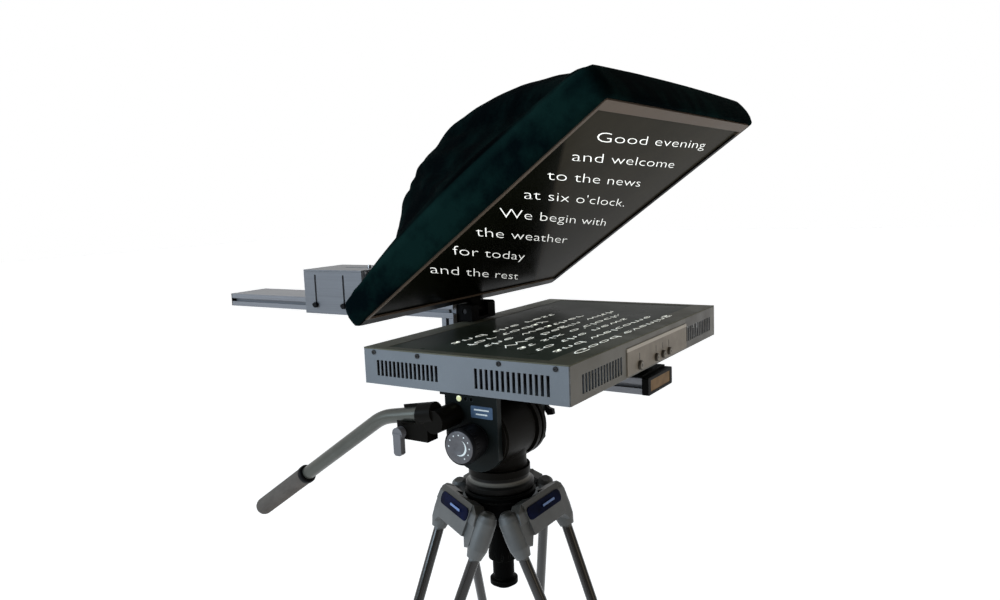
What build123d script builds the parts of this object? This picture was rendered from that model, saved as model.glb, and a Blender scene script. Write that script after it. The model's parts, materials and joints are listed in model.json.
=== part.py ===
from build123d import *
import math
import os

# Stand-mounted teleprompter.  Millimetres, +Z up, +X towards the reader.
# The origin is on the floor, on the vertical pan axis of the tripod head.

# ---- driving dimensions -------------------------------------------------
TOP = 1408.0                      # height of the monitor's top face

MON_X0, MON_X1 = -39.0, 256.0     # monitor case, rear and front faces
MON_HALF_W = 240.0
MON_H = 46.0
SHEET = 1.6                       # sheet-metal thickness
WINDOW_X0, WINDOW_X1 = -9.0, 223.0
WINDOW_HALF_W = 226.0

RAIL_HALF_W = 40.0                # both rails and the riser post share one extrusion
RAIL_H = 22.0
BASE_RAIL_Z = TOP - 79.0
BASE_RAIL_X0, BASE_RAIL_X1 = -76.0, 253.0
CAM_RAIL_Z = TOP + 6.0
CAM_RAIL_X0, CAM_RAIL_X1 = -540.0, -44.0
RAIL_CAP = 2.0
NOSE_CAP = 9.0

GLASS_ANGLE = 35.1                # slope of the beam-splitter above horizontal
FRAME_FOOT = (-38.0, TOP + 28.0)  # lower front edge of the glass frame (X, Z)
FRAME_LEN = 424.0
FRAME_HALF_W = 245.0
FRAME_DEPTH = 16.0
SIDE_LIP, BOTTOM_LIP, TOP_LIP = 6.0, 14.0, 15.0
HOOD_MARGIN = 6.6                 # from the glass frame to the hood's outer face
HOOD_HEEL = 3.4                   # the same at the frame's bottom bar
HOOD_TIP = (-82.0, 0.0, TOP + 190.0)      # centre of the lens opening
HOOD_TIP_UP = (0.469, 0.0, 0.883)         # direction of its height
HINGE_AXIS = (-30.0, TOP + 16.0)  # glass hinge pin (X, Z)
HINGE_PIN_R = 4.0
HINGE_HALF_W = 31.0

RISER_X0, RISER_X1 = -346.0, -217.0
RISER_HALF_W = 45.4
RISER_TOP = TOP + 75.0
RISER_SLOTS = (-320.0, -257.0)
RISER_SLOT_Z = (TOP + 17.0, TOP + 65.0)
CAMERA_SCREW_X = -240.0
CAMERA_SCREW_R = 3.175
CAMERA_SHANK_R = 2.9              # relieved part of the screw inside the slot

TILT_AXIS_Z = TOP - 167.0
HEAD_LEFT, HEAD_RIGHT = -60.0, 74.0
CRADLE_X0, CRADLE_X1 = -52.0, 40.0
CRADLE_R = 48.0
AXLE_R = 8.0
FLANGE_R = 52.0
FLANGE_TOP = TOP - 243.0
BOWL_R = 37.0

HANDLE_Y = -100.0
HANDLE_PATH = ((-46, -122), (-139.7, -138.6), (-434.8, -337.9))   # X, Z below the monitor top
HANDLE_R = 11.0
GRIP_R = 14.5
GRIP_START = 0.59                 # share of the long handle run left bare
WING_AXIS = (-96.0, TOP - 154.0)

LEG_AZIMUTHS = (0.0, 120.0, 240.0)
LEG_TILT = 22.3
PIVOT_R = 60.0
PIVOT_Z = TOP - 285.0
TUBE_R = 8.0
TUBE_SPREAD_TOP = 65.0            # half spacing of the twin tubes at the yoke
TUBE_SPREAD_LOW = 29.0            # and at the clamp
YOKE_SOCKET_END = -46.0           # distances along the leg, from the pivot
CLAMP_TOP, CLAMP_BOTTOM = -585.0, -627.0
LOWER_TUBE_R = 12.5
LOWER_TUBE_TOP = -480.0
FOOT_H = 16.0
REACH = -CAM_RAIL_X0 + RAIL_CAP   # furthest point behind and in front of the pan axis

GAP = 0.3                         # between parts on different bodies
SLIP = 0.05                       # running clearance of pins and shafts


# ---- small helpers --------------------------------------------------------
def block(x, y, z):
    """Box spanning the three (low, high) pairs."""
    size = [b - a for a, b in (x, y, z)]
    middle = [(a + b) / 2 for a, b in (x, y, z)]
    return Pos(*middle) * Box(*size)


def rod_y(x, z, radius, y):
    return Pos(x, sum(y) / 2, z) * Rot(90, 0, 0) * Cylinder(radius, y[1] - y[0])


def rod_x(y, z, radius, x):
    return Pos(sum(x) / 2, y, z) * Rot(0, 90, 0) * Cylinder(radius, x[1] - x[0])


def rod_z(x, y, radius, z):
    return Pos(x, y, sum(z) / 2) * Cylinder(radius, z[1] - z[0])


def plate_xz(points, y):
    """Polygon in X and Z, thickened between two Y values."""
    outline = make_face(Polyline(*[(px, 0, pz) for px, pz in points], close=True))
    return Pos(0, y[0], 0) * extrude(outline, y[1] - y[0], dir=(0, 1, 0))


def plate_yz(points, x):
    """Polygon in Y and Z, thickened between two X values."""
    outline = make_face(Polyline(*[(0, py, pz) for py, pz in points], close=True))
    return Pos(x[0], 0, 0) * extrude(outline, x[1] - x[0], dir=(1, 0, 0))


def turned(profile):
    """Solid of revolution about Z from (radius, height) points."""
    points = [(0, 0, profile[0][1])] + [(r, 0, z) for r, z in profile] + [(0, 0, profile[-1][1])]
    return revolve(make_face(Polyline(*points, close=True)), Axis.Z)


def knurled_knob(radius, height, grooves):
    """Round knob along Z, from 0 up to height, with grooves round its rim."""
    knob = rod_z(0, 0, radius, (0, height))
    knob = chamfer(knob.edges().filter_by(GeomType.CIRCLE), min(1.0, radius * 0.12))
    for i in range(grooves):
        knob -= Rot(0, 0, 360 * i / grooves) * rod_z(radius + 0.4, 0, 0.9, (-1, height + 1))
    return knob


def save(name, *solids):
    shape = solids[0] if len(solids) == 1 else Compound(children=list(solids))
    export_step(shape, os.path.join("parts", name + ".step"))


def spread(low, high, count):
    return [low + (high - low) * i / (count - 1) for i in range(count)]


# ---- extruded rails --------------------------------------------------------
def rail(length):
    """Aluminium extrusion along +X from 0, centred on Y, standing on Z = 0."""
    body = block((0, length), (-RAIL_HALF_W, RAIL_HALF_W), (0, RAIL_H))
    body = fillet(body.edges().filter_by(Axis.X), 0.8)
    ends = (-1, length + 1)
    for side in (-1, 1):
        mouth = sorted((side * (RAIL_HALF_W - 3), side * (RAIL_HALF_W + 1)))
        pocket = sorted((side * (RAIL_HALF_W - 8), side * (RAIL_HALF_W - 2.4)))
        body -= block(ends, mouth, (RAIL_H / 2 - 2.8, RAIL_H / 2 + 2.8))
        body -= block(ends, pocket, (RAIL_H / 2 - 5.2, RAIL_H / 2 + 5.2))
        body -= block(ends, sorted((side * 9, side * 29)), (3, RAIL_H - 3))
    return body - block(ends, (-6, 6), (3, RAIL_H - 3))


def base_rail():
    save("base_rail", Pos(BASE_RAIL_X0, 0, BASE_RAIL_Z) * rail(BASE_RAIL_X1 - BASE_RAIL_X0))


def camera_rail():
    length = CAM_RAIL_X1 - CAM_RAIL_X0
    body = Pos(CAM_RAIL_X0, 0, CAM_RAIL_Z) * rail(length)
    for x, y in post_bolt_places():
        body -= rod_z(x, y, 3.1, (CAM_RAIL_Z - 1, CAM_RAIL_Z + RAIL_H + 1))
    save("camera_rail", body)


def riser_post():
    """Upright piece of the same extrusion between the two rails."""
    low, high = BASE_RAIL_Z + RAIL_H, CAM_RAIL_Z
    body = Pos(CAM_RAIL_X1 - RAIL_H, 0, low) * Pos(RAIL_H, 0, 0) * Rot(0, -90, 0) * rail(high - low)
    for x, y in post_bolt_places():
        body -= rod_z(x, y, 3.1, (high - 30, high + 1))
    save("riser_post", body)


def post_bolt_places():
    return [(CAM_RAIL_X1 - RAIL_H / 2, y) for y in (-30, -7.5, 7.5, 30)]


def post_bolts():
    top = CAM_RAIL_Z + RAIL_H
    bolts = []
    for x, y in post_bolt_places():
        shank = rod_z(x, y, 3.0, (CAM_RAIL_Z - 25, top))
        head = rod_z(x, y, 5.0, (top, top + 3.2)) - rod_z(x, y, 2.4, (top + 1.2, top + 4))
        bolts.append(shank + head)
    save("post_bolts", *bolts)


def rail_cap(x, z):
    cap = block((x, x + RAIL_CAP), (-RAIL_HALF_W, RAIL_HALF_W), (z, z + RAIL_H))
    return fillet(cap.edges().filter_by(Axis.X), 1.0)


def rail_end_caps():
    save("rail_end_caps", rail_cap(CAM_RAIL_X0 - RAIL_CAP, CAM_RAIL_Z),
         rail_cap(BASE_RAIL_X0 - RAIL_CAP, BASE_RAIL_Z))


def rail_nose_cap():
    """Thick front cap of the base rail with a shallow rectangular recess."""
    x = (BASE_RAIL_X1, BASE_RAIL_X1 + NOSE_CAP)
    cap = block(x, (-RAIL_HALF_W - 1, RAIL_HALF_W + 1), (BASE_RAIL_Z - 0.5, BASE_RAIL_Z + RAIL_H + 0.5))
    cap = fillet(cap.edges().filter_by(Axis.X), 2.0)
    cap -= block((x[1] - 1.2, x[1] + 1), (-33, 33), (BASE_RAIL_Z + 3.5, BASE_RAIL_Z + RAIL_H - 3.5))
    save("rail_nose_cap", cap)


# ---- monitor ----------------------------------------------------------------
def slot_row(positions, z, along, wall):
    """Row of vertical vent slots; along is 'x' or 'y', wall the other axis span."""
    half = 2.1 if along == "x" else 2.5
    cutters = []
    for p in positions:
        span = (p - half, p + half)
        cutters.append(block(span, wall, z) if along == "x" else block(wall, span, z))
    return cutters


def case_screw_places():
    return [(x, side) for side in (-1, 1) for x in (-21.5, 48.0, 165.5, 239.0)]


def case_screw_z():
    return TOP - 5.4


def monitor_case():
    low = TOP - MON_H
    body = block((MON_X0, MON_X1), (-MON_HALF_W, MON_HALF_W), (low, TOP - SHEET))
    body = fillet(body.edges().filter_by(Axis.Z), 1.5)
    body -= block((MON_X0 + SHEET, MON_X1 - SHEET), (-MON_HALF_W + SHEET, MON_HALF_W - SHEET),
                  (low + SHEET, TOP))
    for side in (-1, 1):
        wall = sorted((side * (MON_HALF_W + 2), side * (MON_HALF_W - 4)))
        for cutter in slot_row(spread(-15.7, 75.5, 15), (TOP - 35, TOP - 15), "x", wall):
            body -= cutter
        for cutter in slot_row(spread(133, 229, 14), (TOP - 37.5, TOP - 13.5), "x", wall):
            body -= cutter
        body -= block((MON_X1 - 1.0, MON_X1 + 1), sorted((side * 238.8, side * 241)), (low - 1, TOP))
        body -= block((MON_X0 - 1, MON_X0 + 1.0), sorted((side * 238.8, side * 241)), (low - 1, TOP))
    front = (MON_X1 - 4, MON_X1 + 2)
    for cutter in slot_row(spread(-209, -109, 14), (TOP - 38, TOP - 16), "y", front):
        body -= cutter
    for cutter in slot_row(spread(116, 216, 14), (TOP - 36, TOP - 15), "y", front):
        body -= cutter
    body -= block(front, (-86, 104), (TOP - 42.6, TOP - 12))
    body -= block((MON_X0 - 2, MON_X0 + 4), (72, 178), (TOP - 38, TOP - 12))
    for x, side in case_screw_places():
        body -= rod_y(x, case_screw_z(), 1.7, sorted((side * (MON_HALF_W - 5), side * (MON_HALF_W + 5))))
    for x in (45, 205):
        for y in (-48, 48):
            body += rod_z(x, y, 3.5, (low + SHEET, TOP - 38))
    save("monitor_case", body)


def monitor_bezel():
    """Sheet-metal lid with the window, its glass rebate and four skirts."""
    lid = block((MON_X0, MON_X1), (-MON_HALF_W, MON_HALF_W), (TOP - SHEET, TOP))
    lid = fillet(lid.edges().filter_by(Axis.Z), 1.5)
    skirt_x = (MON_X0 + SHEET + 0.1, MON_X1 - SHEET - 0.1)
    skirt_y = (-MON_HALF_W + SHEET + 0.1, MON_HALF_W - SHEET - 0.1)
    skirt = block(skirt_x, skirt_y, (TOP - 9.5, TOP - SHEET))
    skirt -= block((skirt_x[0] + 1.2, skirt_x[1] - 1.2), (skirt_y[0] + 1.2, skirt_y[1] - 1.2),
                   (TOP - 10, TOP - SHEET))
    ledge = block((WINDOW_X0 - 3, WINDOW_X1 + 3), (-WINDOW_HALF_W - 3, WINDOW_HALF_W + 3),
                  (TOP - 5, TOP - SHEET))
    body = lid + skirt + ledge
    body -= block((WINDOW_X0, WINDOW_X1), (-WINDOW_HALF_W, WINDOW_HALF_W), (TOP - 3.4, TOP + 1))
    body -= block((WINDOW_X0 + 8, WINDOW_X1 - 8), (-WINDOW_HALF_W + 8, WINDOW_HALF_W - 8),
                  (TOP - 6, TOP))
    for x, side in case_screw_places():
        body -= rod_y(x, case_screw_z(), 1.7, sorted((side * (MON_HALF_W - 5), side * (MON_HALF_W + 5))))
    save("monitor_bezel", body)


def screen_glass():
    save("screen_glass", block((WINDOW_X0 + 0.2, WINDOW_X1 - 0.2),
                               (-WINDOW_HALF_W + 0.2, WINDOW_HALF_W - 0.2), (TOP - 3.4, TOP - 0.3)))


def lcd_panel():
    """Liquid-crystal module: metal frame with a raised back cover."""
    panel = block((-12, 226), (-208, 208), (TOP - 15, TOP - 5.1))
    panel += block((4, 210), (-190, 190), (TOP - 19, TOP - 15))
    save("lcd_panel", fillet(panel.edges().filter_by(Axis.Z), 2.0))


def driver_board():
    board_z = TOP - 38
    board = block((38, 212), (-55, 55), (board_z, board_z + 1.6))
    for x, y, w, d, h in ((80, -20, 28, 28, 3), (130, 15, 20, 20, 2.5), (175, -25, 26, 40, 9),
                          (70, 32, 40, 12, 7), (150, -42, 36, 10, 6)):
        board += block((x - w / 2, x + w / 2), (y - d / 2, y + d / 2), (board_z + 1.6, board_z + 1.6 + h))
    for x, y in ((185, 30), (200, 20), (110, 38)):
        board += rod_z(x, y, 5, (board_z + 1.6, board_z + 11))
    save("driver_board", board)


def button_places():
    """Name, Y and radius of each button on the control panel."""
    return (("power_button", -56.0, 6.0), ("menu_button_1", -2.0, 5.2),
            ("menu_button_2", 21.0, 5.2), ("menu_button_3", 43.0, 5.2))


def control_panel():
    panel = block((MON_X1, MON_X1 + 1.2), (-93, 112), (TOP - 43.5, TOP - 9))
    panel += block((MON_X1 - SHEET, MON_X1), (-85.8, 103.8), (TOP - 42.4, TOP - 12.2))
    for _, y, radius in button_places():
        panel -= rod_x(y, TOP - 36.0, radius + SLIP + 0.05, (MON_X1 - 3, MON_X1 + 3))
    save("control_panel", panel)


def buttons():
    for name, y, radius in button_places():
        cap = rod_x(y, TOP - 36.0, radius, (MON_X1 - 4, MON_X1 + 4.6))
        cap = fillet(cap.edges().sort_by(Axis.X)[-1], 0.8)
        save(name, cap + rod_x(y, TOP - 36.0, radius - 2.5, (MON_X1 - 10, MON_X1 - 4)))


def input_panel():
    """Socket plate on the rear face: power inlet, coaxial and video sockets."""
    back = MON_X0
    panel = block((back - 1.0, back), (68, 182), (TOP - 40, TOP - 10))
    panel += block((back, back + SHEET), (72.2, 177.8), (TOP - 37.8, TOP - 12.2))
    z = TOP - 25
    for y, radius, bore in ((90, 6.5, 3.2), (118, 5.5, 3.6)):
        panel += rod_x(y, z, radius, (back - 3, back + 12))
        panel -= rod_x(y, z, bore, (back - 4, back + 9))
    for y, w, h in ((145, 8.0, 3.0), (166, 6.5, 5.5)):
        panel += block((back - 2, back + 12), (y - w - 1.2, y + w + 1.2), (z - h - 1.2, z + h + 1.2))
        panel -= block((back - 3, back + 9), (y - w, y + w), (z - h, z + h))
    save("input_panel", panel)


def case_screws():
    screws = []
    for x, side in case_screw_places():
        face = side * MON_HALF_W
        shank = rod_y(x, case_screw_z(), 1.6, sorted((face - side * 4.5, face)))
        head = rod_y(x, case_screw_z(), 3.0, sorted((face, face + side * 1.3)))
        recess = rod_y(x, case_screw_z(), 1.2, sorted((face + side * 0.5, face + side * 2)))
        screws.append(shank + head - recess)
    save("case_screws", *screws)


def monitor_bracket():
    """Flat plate on the base rail with two cross pads that carry the monitor."""
    low = BASE_RAIL_Z + RAIL_H
    plate = block((CAM_RAIL_X1 + 2, BASE_RAIL_X1), (-RAIL_HALF_W + 2, RAIL_HALF_W - 2), (low, low + 3))
    for x in (0, 185):
        plate += block((x, x + 34), (-70, 70), (low + 3, TOP - MON_H))
        for y in (-58, 58):
            plate -= rod_z(x + 17, y, 2.7, (low, TOP))
    save("monitor_bracket", plate)


# ---- glass hinge ---------------------------------------------------------------
def hinge_block():
    """Solid block on the riser post with a slot for the glass frame's lug."""
    x, z = HINGE_AXIS
    span = (-HINGE_HALF_W, HINGE_HALF_W)
    foot_z = TOP + 2.0
    body = block((CAM_RAIL_X1, x + 13.5), span, (foot_z, z + 10.5))
    body = chamfer(body.edges().filter_by(Axis.Y).group_by(Axis.Z)[-1], 2.5)
    body += block((CAM_RAIL_X1, CAM_RAIL_X1 + 4), span, (TOP - 44, foot_z))
    body -= block((CAM_RAIL_X1 - 1, x + 20), (-12.4, 12.4), (foot_z + 4, z + 20))
    save("hinge_block", body - rod_y(x, z, HINGE_PIN_R, (-HINGE_HALF_W - 1, HINGE_HALF_W + 1)))


def hinge_pin():
    x, z = HINGE_AXIS
    save("hinge_pin", rod_y(x, z, HINGE_PIN_R, (-HINGE_HALF_W + 1.5, HINGE_HALF_W - 1.5)))


def on_glass(shape):
    """Place a shape drawn with X up the slope, Y across and Z behind the glass."""
    return Pos(FRAME_FOOT[0], 0, FRAME_FOOT[1]) * Rot(0, -GLASS_ANGLE, 0) * shape


def hinge_on_glass():
    """Hinge axis in the glass's own slope and depth coordinates."""
    dx, dz = HINGE_AXIS[0] - FRAME_FOOT[0], HINGE_AXIS[1] - FRAME_FOOT[1]
    c, s = math.cos(math.radians(GLASS_ANGLE)), math.sin(math.radians(GLASS_ANGLE))
    return dx * c + dz * s, -dx * s + dz * c


def glass_frame():
    half = FRAME_HALF_W
    body = block((0, FRAME_LEN), (-half, half), (0, FRAME_DEPTH))
    body = fillet(body.edges().filter_by(Axis.Z), 2.0)
    body -= block((BOTTOM_LIP, FRAME_LEN - TOP_LIP), (-half + SIDE_LIP, half - SIDE_LIP), (-1, FRAME_DEPTH + 1))
    body -= block((BOTTOM_LIP - 5, FRAME_LEN - TOP_LIP + 5), (-half + 3, half - 3), (2.5, FRAME_DEPTH + 1))
    along, depth = hinge_on_glass()
    lug = rod_y(along, depth, 7.5, (-12, 12)) + block((along - 7.5, along + 7.5), (-12, 12), (depth, 0.1))
    lug += block((max(along - 7.5, 0), BOTTOM_LIP - 5), (-12, 12), (0, 6))
    lug -= block((-20, 0.0), (-13, 13), (-4, 30))
    body += lug
    save("glass_frame", on_glass(body - rod_y(along, depth, HINGE_PIN_R + SLIP, (-13, 13))))


def beamsplitter_glass():
    sheet = block((BOTTOM_LIP - 4.7, FRAME_LEN - TOP_LIP + 4.7),
                  (-FRAME_HALF_W + 3.3, FRAME_HALF_W - 3.3), (2.6, 6.6))
    save("beamsplitter_glass", on_glass(sheet))


# ---- hood ------------------------------------------------------------------------
def ring_point(centre, up, across, half_w, half_h, cut):
    """Eight corners of a rectangle with cut corners, as 3-D points."""
    corners = ((-half_w + cut, -half_h), (half_w - cut, -half_h), (half_w, -half_h + cut),
               (half_w, half_h - cut), (half_w - cut, half_h), (-half_w + cut, half_h),
               (-half_w, half_h - cut), (-half_w, -half_h + cut))
    return [tuple(centre[i] + a * across[i] + b * up[i] for i in range(3)) for a, b in corners]


def hood_sections(wall):
    """Five sections from the glass frame to the lens opening, drawn in by wall."""
    c, s = math.cos(math.radians(GLASS_ANGLE)), math.sin(math.radians(GLASS_ANGLE))
    across = (0, 1, 0)
    up = (c, 0, s)

    def rim(low, high, depth, half_w, cut):
        mid = (low + high) / 2
        centre = (FRAME_FOOT[0] + mid * c - depth * s, 0, FRAME_FOOT[1] + mid * s + depth * c)
        return ring_point(centre, up, across, half_w - wall, (high - low) / 2 - wall, cut)

    first = rim(-HOOD_HEEL, FRAME_LEN + HOOD_MARGIN, 5.0 - 3 * wall, FRAME_HALF_W + HOOD_MARGIN, 4)
    collar = rim(-HOOD_HEEL, FRAME_LEN + HOOD_MARGIN + 1, FRAME_DEPTH + 2, FRAME_HALF_W + HOOD_MARGIN, 5)
    ridge = rim(3.0, FRAME_LEN + 8.0, 42.0 - wall, FRAME_HALF_W + 6.0, 14)
    tip = ring_point(HOOD_TIP, HOOD_TIP_UP, across, 78.0 - wall, 90.0 - wall, 30)
    bulge = 12.0 - wall
    middle = []
    for p, q in zip(ridge, tip):
        m = [(p[i] + q[i]) / 2 for i in range(3)]
        middle.append((m[0] - bulge * s, m[1] * (1 + bulge / 400), m[2] + bulge * c))
    if wall:
        tip = [tuple(q[i] + 0.1 * (q[i] - m[i]) for i in range(3)) for q, m in zip(tip, middle)]
    return first, collar, ridge, middle, tip


def facet_solid(sections):
    """Closed solid from matching rings of points, faced with triangles."""
    corners = []
    for ring, following in zip(sections, sections[1:]):
        for i in range(len(ring)):
            j = (i + 1) % len(ring)
            corners += [(ring[i], ring[j], following[j]), (ring[i], following[j], following[i])]
    for ring in (sections[0], sections[-1]):
        centre = tuple(sum(p[k] for p in ring) / len(ring) for k in range(3))
        corners += [(ring[i], ring[(i + 1) % len(ring)], centre) for i in range(len(ring))]
    faces = [Face(Wire.make_polygon([Vector(*p) for p in corner], close=True)) for corner in corners]
    return Solid(Shell(faces))


def hood():
    save("hood", facet_solid(hood_sections(0)) - facet_solid(hood_sections(3.0)))


def hood_bow():
    """Spring-steel hoop that holds the back of the hood up."""
    c, s = math.cos(math.radians(GLASS_ANGLE)), math.sin(math.radians(GLASS_ANGLE))
    along, depth = 190.0, FRAME_DEPTH + 2.2
    foot = (FRAME_FOOT[0] + along * c - depth * s, FRAME_FOOT[1] + along * s + depth * c)
    half = FRAME_HALF_W - 8
    path = FilletPolyline((foot[0], -half, foot[1]), (foot[0] - 36, -0.74 * half, foot[1] + 50),
                          (foot[0] - 78, -50, foot[1] + 88), (foot[0] - 78, 50, foot[1] + 88),
                          (foot[0] - 36, 0.74 * half, foot[1] + 50), (foot[0], half, foot[1]), radius=40)
    start = Plane(origin=path @ 0, z_dir=path % 0)
    save("hood_bow", sweep(start * Circle(2.0), path=path))


# ---- camera riser ------------------------------------------------------------------
def riser_base():
    """Channel wrapped round the camera rail from below; slots guide the top box."""
    x = (RISER_X0, RISER_X1)
    body = block(x, (-RISER_HALF_W, RISER_HALF_W), (TOP + 2.4, RISER_TOP - 2.8))
    body -= block((x[0] - 1, x[1] + 1), (-RISER_HALF_W + 2.4, RISER_HALF_W - 2.4), (TOP + 5.4, RISER_TOP))
    for slot_x in RISER_SLOTS:
        low, high = RISER_SLOT_Z
        for side in (-1, 1):
            y = sorted((side * (RISER_HALF_W - 4), side * (RISER_HALF_W + 1)))
            body -= block((slot_x - 2.1, slot_x + 2.1), y, (low, high))
            body -= rod_y(slot_x, low, 2.1, y) + rod_y(slot_x, high, 2.1, y)
    save("riser_base", body)


def riser_top():
    """Inverted box that carries the camera and slides up inside the base."""
    x = (RISER_X0, RISER_X1)
    body = block(x, (-RISER_HALF_W, RISER_HALF_W), (RISER_TOP - 2.5, RISER_TOP))
    for side in (-1, 1):
        y = sorted((side * 40.4, side * (RISER_HALF_W - 2.7)))
        body += block(x, y, (TOP + 8, RISER_TOP - 2.5))
        for slot_x in RISER_SLOTS:
            body -= rod_y(slot_x, RISER_SLOT_Z[0], 1.75, sorted((side * 38, side * 46)))
    body -= block((CAMERA_SCREW_X - 50, CAMERA_SCREW_X), (-3.4, 3.4), (RISER_TOP - 4, RISER_TOP + 1))
    for end_x in (CAMERA_SCREW_X - 50, CAMERA_SCREW_X):
        body -= rod_z(end_x, 0, 3.4, (RISER_TOP - 4, RISER_TOP + 1))
    save("riser_top", body)


def riser_knobs():
    for name, x in zip(("riser_knob_rear", "riser_knob_front"), RISER_SLOTS):
        head = Pos(x, -RISER_HALF_W - 0.3, RISER_SLOT_Z[0]) * Rot(90, 0, 0) * knurled_knob(4.6, 5.0, 12)
        save(name, head + rod_y(x, RISER_SLOT_Z[0], 1.7, (-RISER_HALF_W - 0.3, -RAIL_HALF_W - 0.3)))


def carriage_screws():
    """Four screws that lock the riser base into the rail's side grooves."""
    screws = []
    for x in (RISER_SLOTS[0] - 7, RISER_SLOTS[1] - 7):
        for side in (-1, 1):
            face = side * RISER_HALF_W
            screws.append(rod_y(x, CAM_RAIL_Z + RAIL_H / 2, 2.4, sorted((face, face + side * 1.2))))
    save("carriage_screws", *screws)


def camera_screw():
    thread = rod_z(CAMERA_SCREW_X, 0, CAMERA_SCREW_R, (RISER_TOP + 0.5, RISER_TOP + 5.0))
    thread = chamfer(thread.edges().sort_by(Axis.Z)[-1], 0.5)
    shank = rod_z(CAMERA_SCREW_X, 0, CAMERA_SHANK_R, (RISER_TOP - 8, RISER_TOP + 0.5))
    head = Pos(CAMERA_SCREW_X, 0, RISER_TOP - 10.5) * knurled_knob(8.0, 6.5, 18)
    save("camera_screw", thread + shank + head)


# ---- fluid head ------------------------------------------------------------------------
def quick_plate():
    """Sliding dovetail plate screwed under the base rail."""
    body = block((-78, 58), (-22, 22), (TOP - 91, BASE_RAIL_Z))
    body += block((-78, 58), (-26, 26), (TOP - 97, TOP - 91))
    save("quick_plate", chamfer(body.edges().filter_by(Axis.Z), 2.0))


def cradle_cheek(y):
    """Side arm of the tilting cradle with a round lower end about the tilt axis."""
    arm = block((CRADLE_X0, CRADLE_X1), y, (TILT_AXIS_Z, TOP - 104))
    lower = block((CRADLE_X0, CRADLE_X1), y, (TILT_AXIS_Z - 60, TOP - 104))
    arm += rod_y(0, TILT_AXIS_Z, CRADLE_R, y) & lower
    return arm - rod_y(0, TILT_AXIS_Z, AXLE_R + SLIP, (y[0] - 1, y[1] + 1))


def head_platform():
    body = cradle_cheek((HEAD_LEFT, HEAD_LEFT + 10)) + cradle_cheek((HEAD_RIGHT - 12, HEAD_RIGHT))
    body += block((-61, CRADLE_X1), (HEAD_LEFT, HEAD_RIGHT), (TOP - 105, TOP - 97.4))
    for side in (-1, 1):
        outer = HEAD_LEFT if side < 0 else HEAD_RIGHT
        body += block((-61, CRADLE_X1), sorted((side * 26.4, outer)), (TOP - 97.4, TOP - 86))
        body += block((-61, CRADLE_X1), sorted((side * 22.4, side * 26.4)), (TOP - 90.6, TOP - 86))
    body -= rod_y(-26, TOP - 108, 4.6, (HEAD_LEFT - 1, HEAD_LEFT + 4))
    for x in (-14, -4):
        body -= rod_y(x, TOP - 107.5, 3.0, (HEAD_LEFT - 1, HEAD_LEFT + 3))
    body -= rod_y(20, TOP - 112, 5.05, (HEAD_RIGHT - 6, HEAD_RIGHT + 1))
    body -= rod_y(CLAMP_HUB[0], TOP + CLAMP_HUB[1], 6.05, (HEAD_LEFT - 1, HEAD_LEFT + 8))
    save("head_platform", body)


def level_vial():
    vial = rod_y(-26, TOP - 108, 4.5, (HEAD_LEFT - 1.2, HEAD_LEFT + 4))
    save("level_vial", fillet(vial.edges().sort_by(Axis.Y)[0], 1.2))


def plate_lever():
    """Quick-release lever on the right side of the platform."""
    y = HEAD_RIGHT
    lever = rod_y(20, TOP - 112, 5.0, (y - 5.7, y + 10))
    lever += plate_xz(((14, TOP - 107), (44, TOP - 148), (52, TOP - 150), (53, TOP - 158),
                       (43, TOP - 160), (13, TOP - 118)), (y + 3, y + 10))
    save("plate_lever", lever)


def head_body():
    """Drag drum with fins, pedestal and turntable neck."""
    inner = (HEAD_LEFT + 10 + GAP, HEAD_RIGHT - 12 - GAP)
    body = rod_y(0, TILT_AXIS_Z, 47.0, inner)
    body += rod_y(0, TILT_AXIS_Z, 49.5, (inner[0] + 4, inner[1] - 34))
    for y in (inner[1] - 28, inner[1] - 14):
        body += rod_y(0, TILT_AXIS_Z, 53.0, (y, y + 8))
    pedestal = turned(((42.0, TOP - 224), (39.8, TOP - 218), (39.8, TOP - 204), (44.0, TILT_AXIS_Z - 18),
                       (44.0, TILT_AXIS_Z)))
    body += Pos(0, 4, 0) * pedestal
    body += rod_z(0, 0, 47.0, (FLANGE_TOP + 11.3, TOP - 221))
    save("head_body", body - rod_y(0, TILT_AXIS_Z, AXLE_R, (-80, 90)))


def tilt_axle():
    save("tilt_axle", rod_y(0, TILT_AXIS_Z, AXLE_R, (-88, HEAD_RIGHT + 2)))


def tilt_drag_knob():
    """Drag setting knob on the left end of the tilt axle."""
    profile = ((24.0, 0), (25.5, 4), (27.5, 34), (26.6, 36.5), (25.0, 38))
    knob = turned(profile)
    for i in range(24):
        knob -= Rot(0, 0, 15 * i) * rod_z(28.0, 0, 1.5, (6, 33))
    knob -= rod_z(0, 0, AXLE_R + SLIP, (-1, 29))
    save("tilt_drag_knob", Pos(0, -62.0, TILT_AXIS_Z) * Rot(90, 0, 0) * knob)


def pan_base():
    """Turntable flange, levelling half ball and clamp stud."""
    body = turned(((45.0, FLANGE_TOP + 11), (46.0, FLANGE_TOP + 3), (FLANGE_R - 2, FLANGE_TOP),
                   (FLANGE_R, FLANGE_TOP - 2), (FLANGE_R, FLANGE_TOP - 9), (FLANGE_R - 3, FLANGE_TOP - 12),
                   (30.0, FLANGE_TOP - 12)))
    ball = Pos(0, 0, FLANGE_TOP - 8) * Sphere(BOWL_R)
    body += ball & block((-60, 60), (-60, 60), (FLANGE_TOP - 36, FLANGE_TOP - 8))
    body += rod_z(0, 0, 5.0, (TOP - 350, FLANGE_TOP - 30))
    save("pan_base", body)


def pan_lock_lever():
    """Pan brake: a boss on the drum pedestal with a short wing."""
    wing = rod_x(0, 0, 6.0, (0, 20)) + block((14, 20), (-5, 5), (-18, 4)) + rod_x(0, -18, 5.0, (14, 20))
    save("pan_lock_lever", Pos(-40 - GAP, 0, TOP - 211) * Rot(0, 0, 180) * wing)


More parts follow.
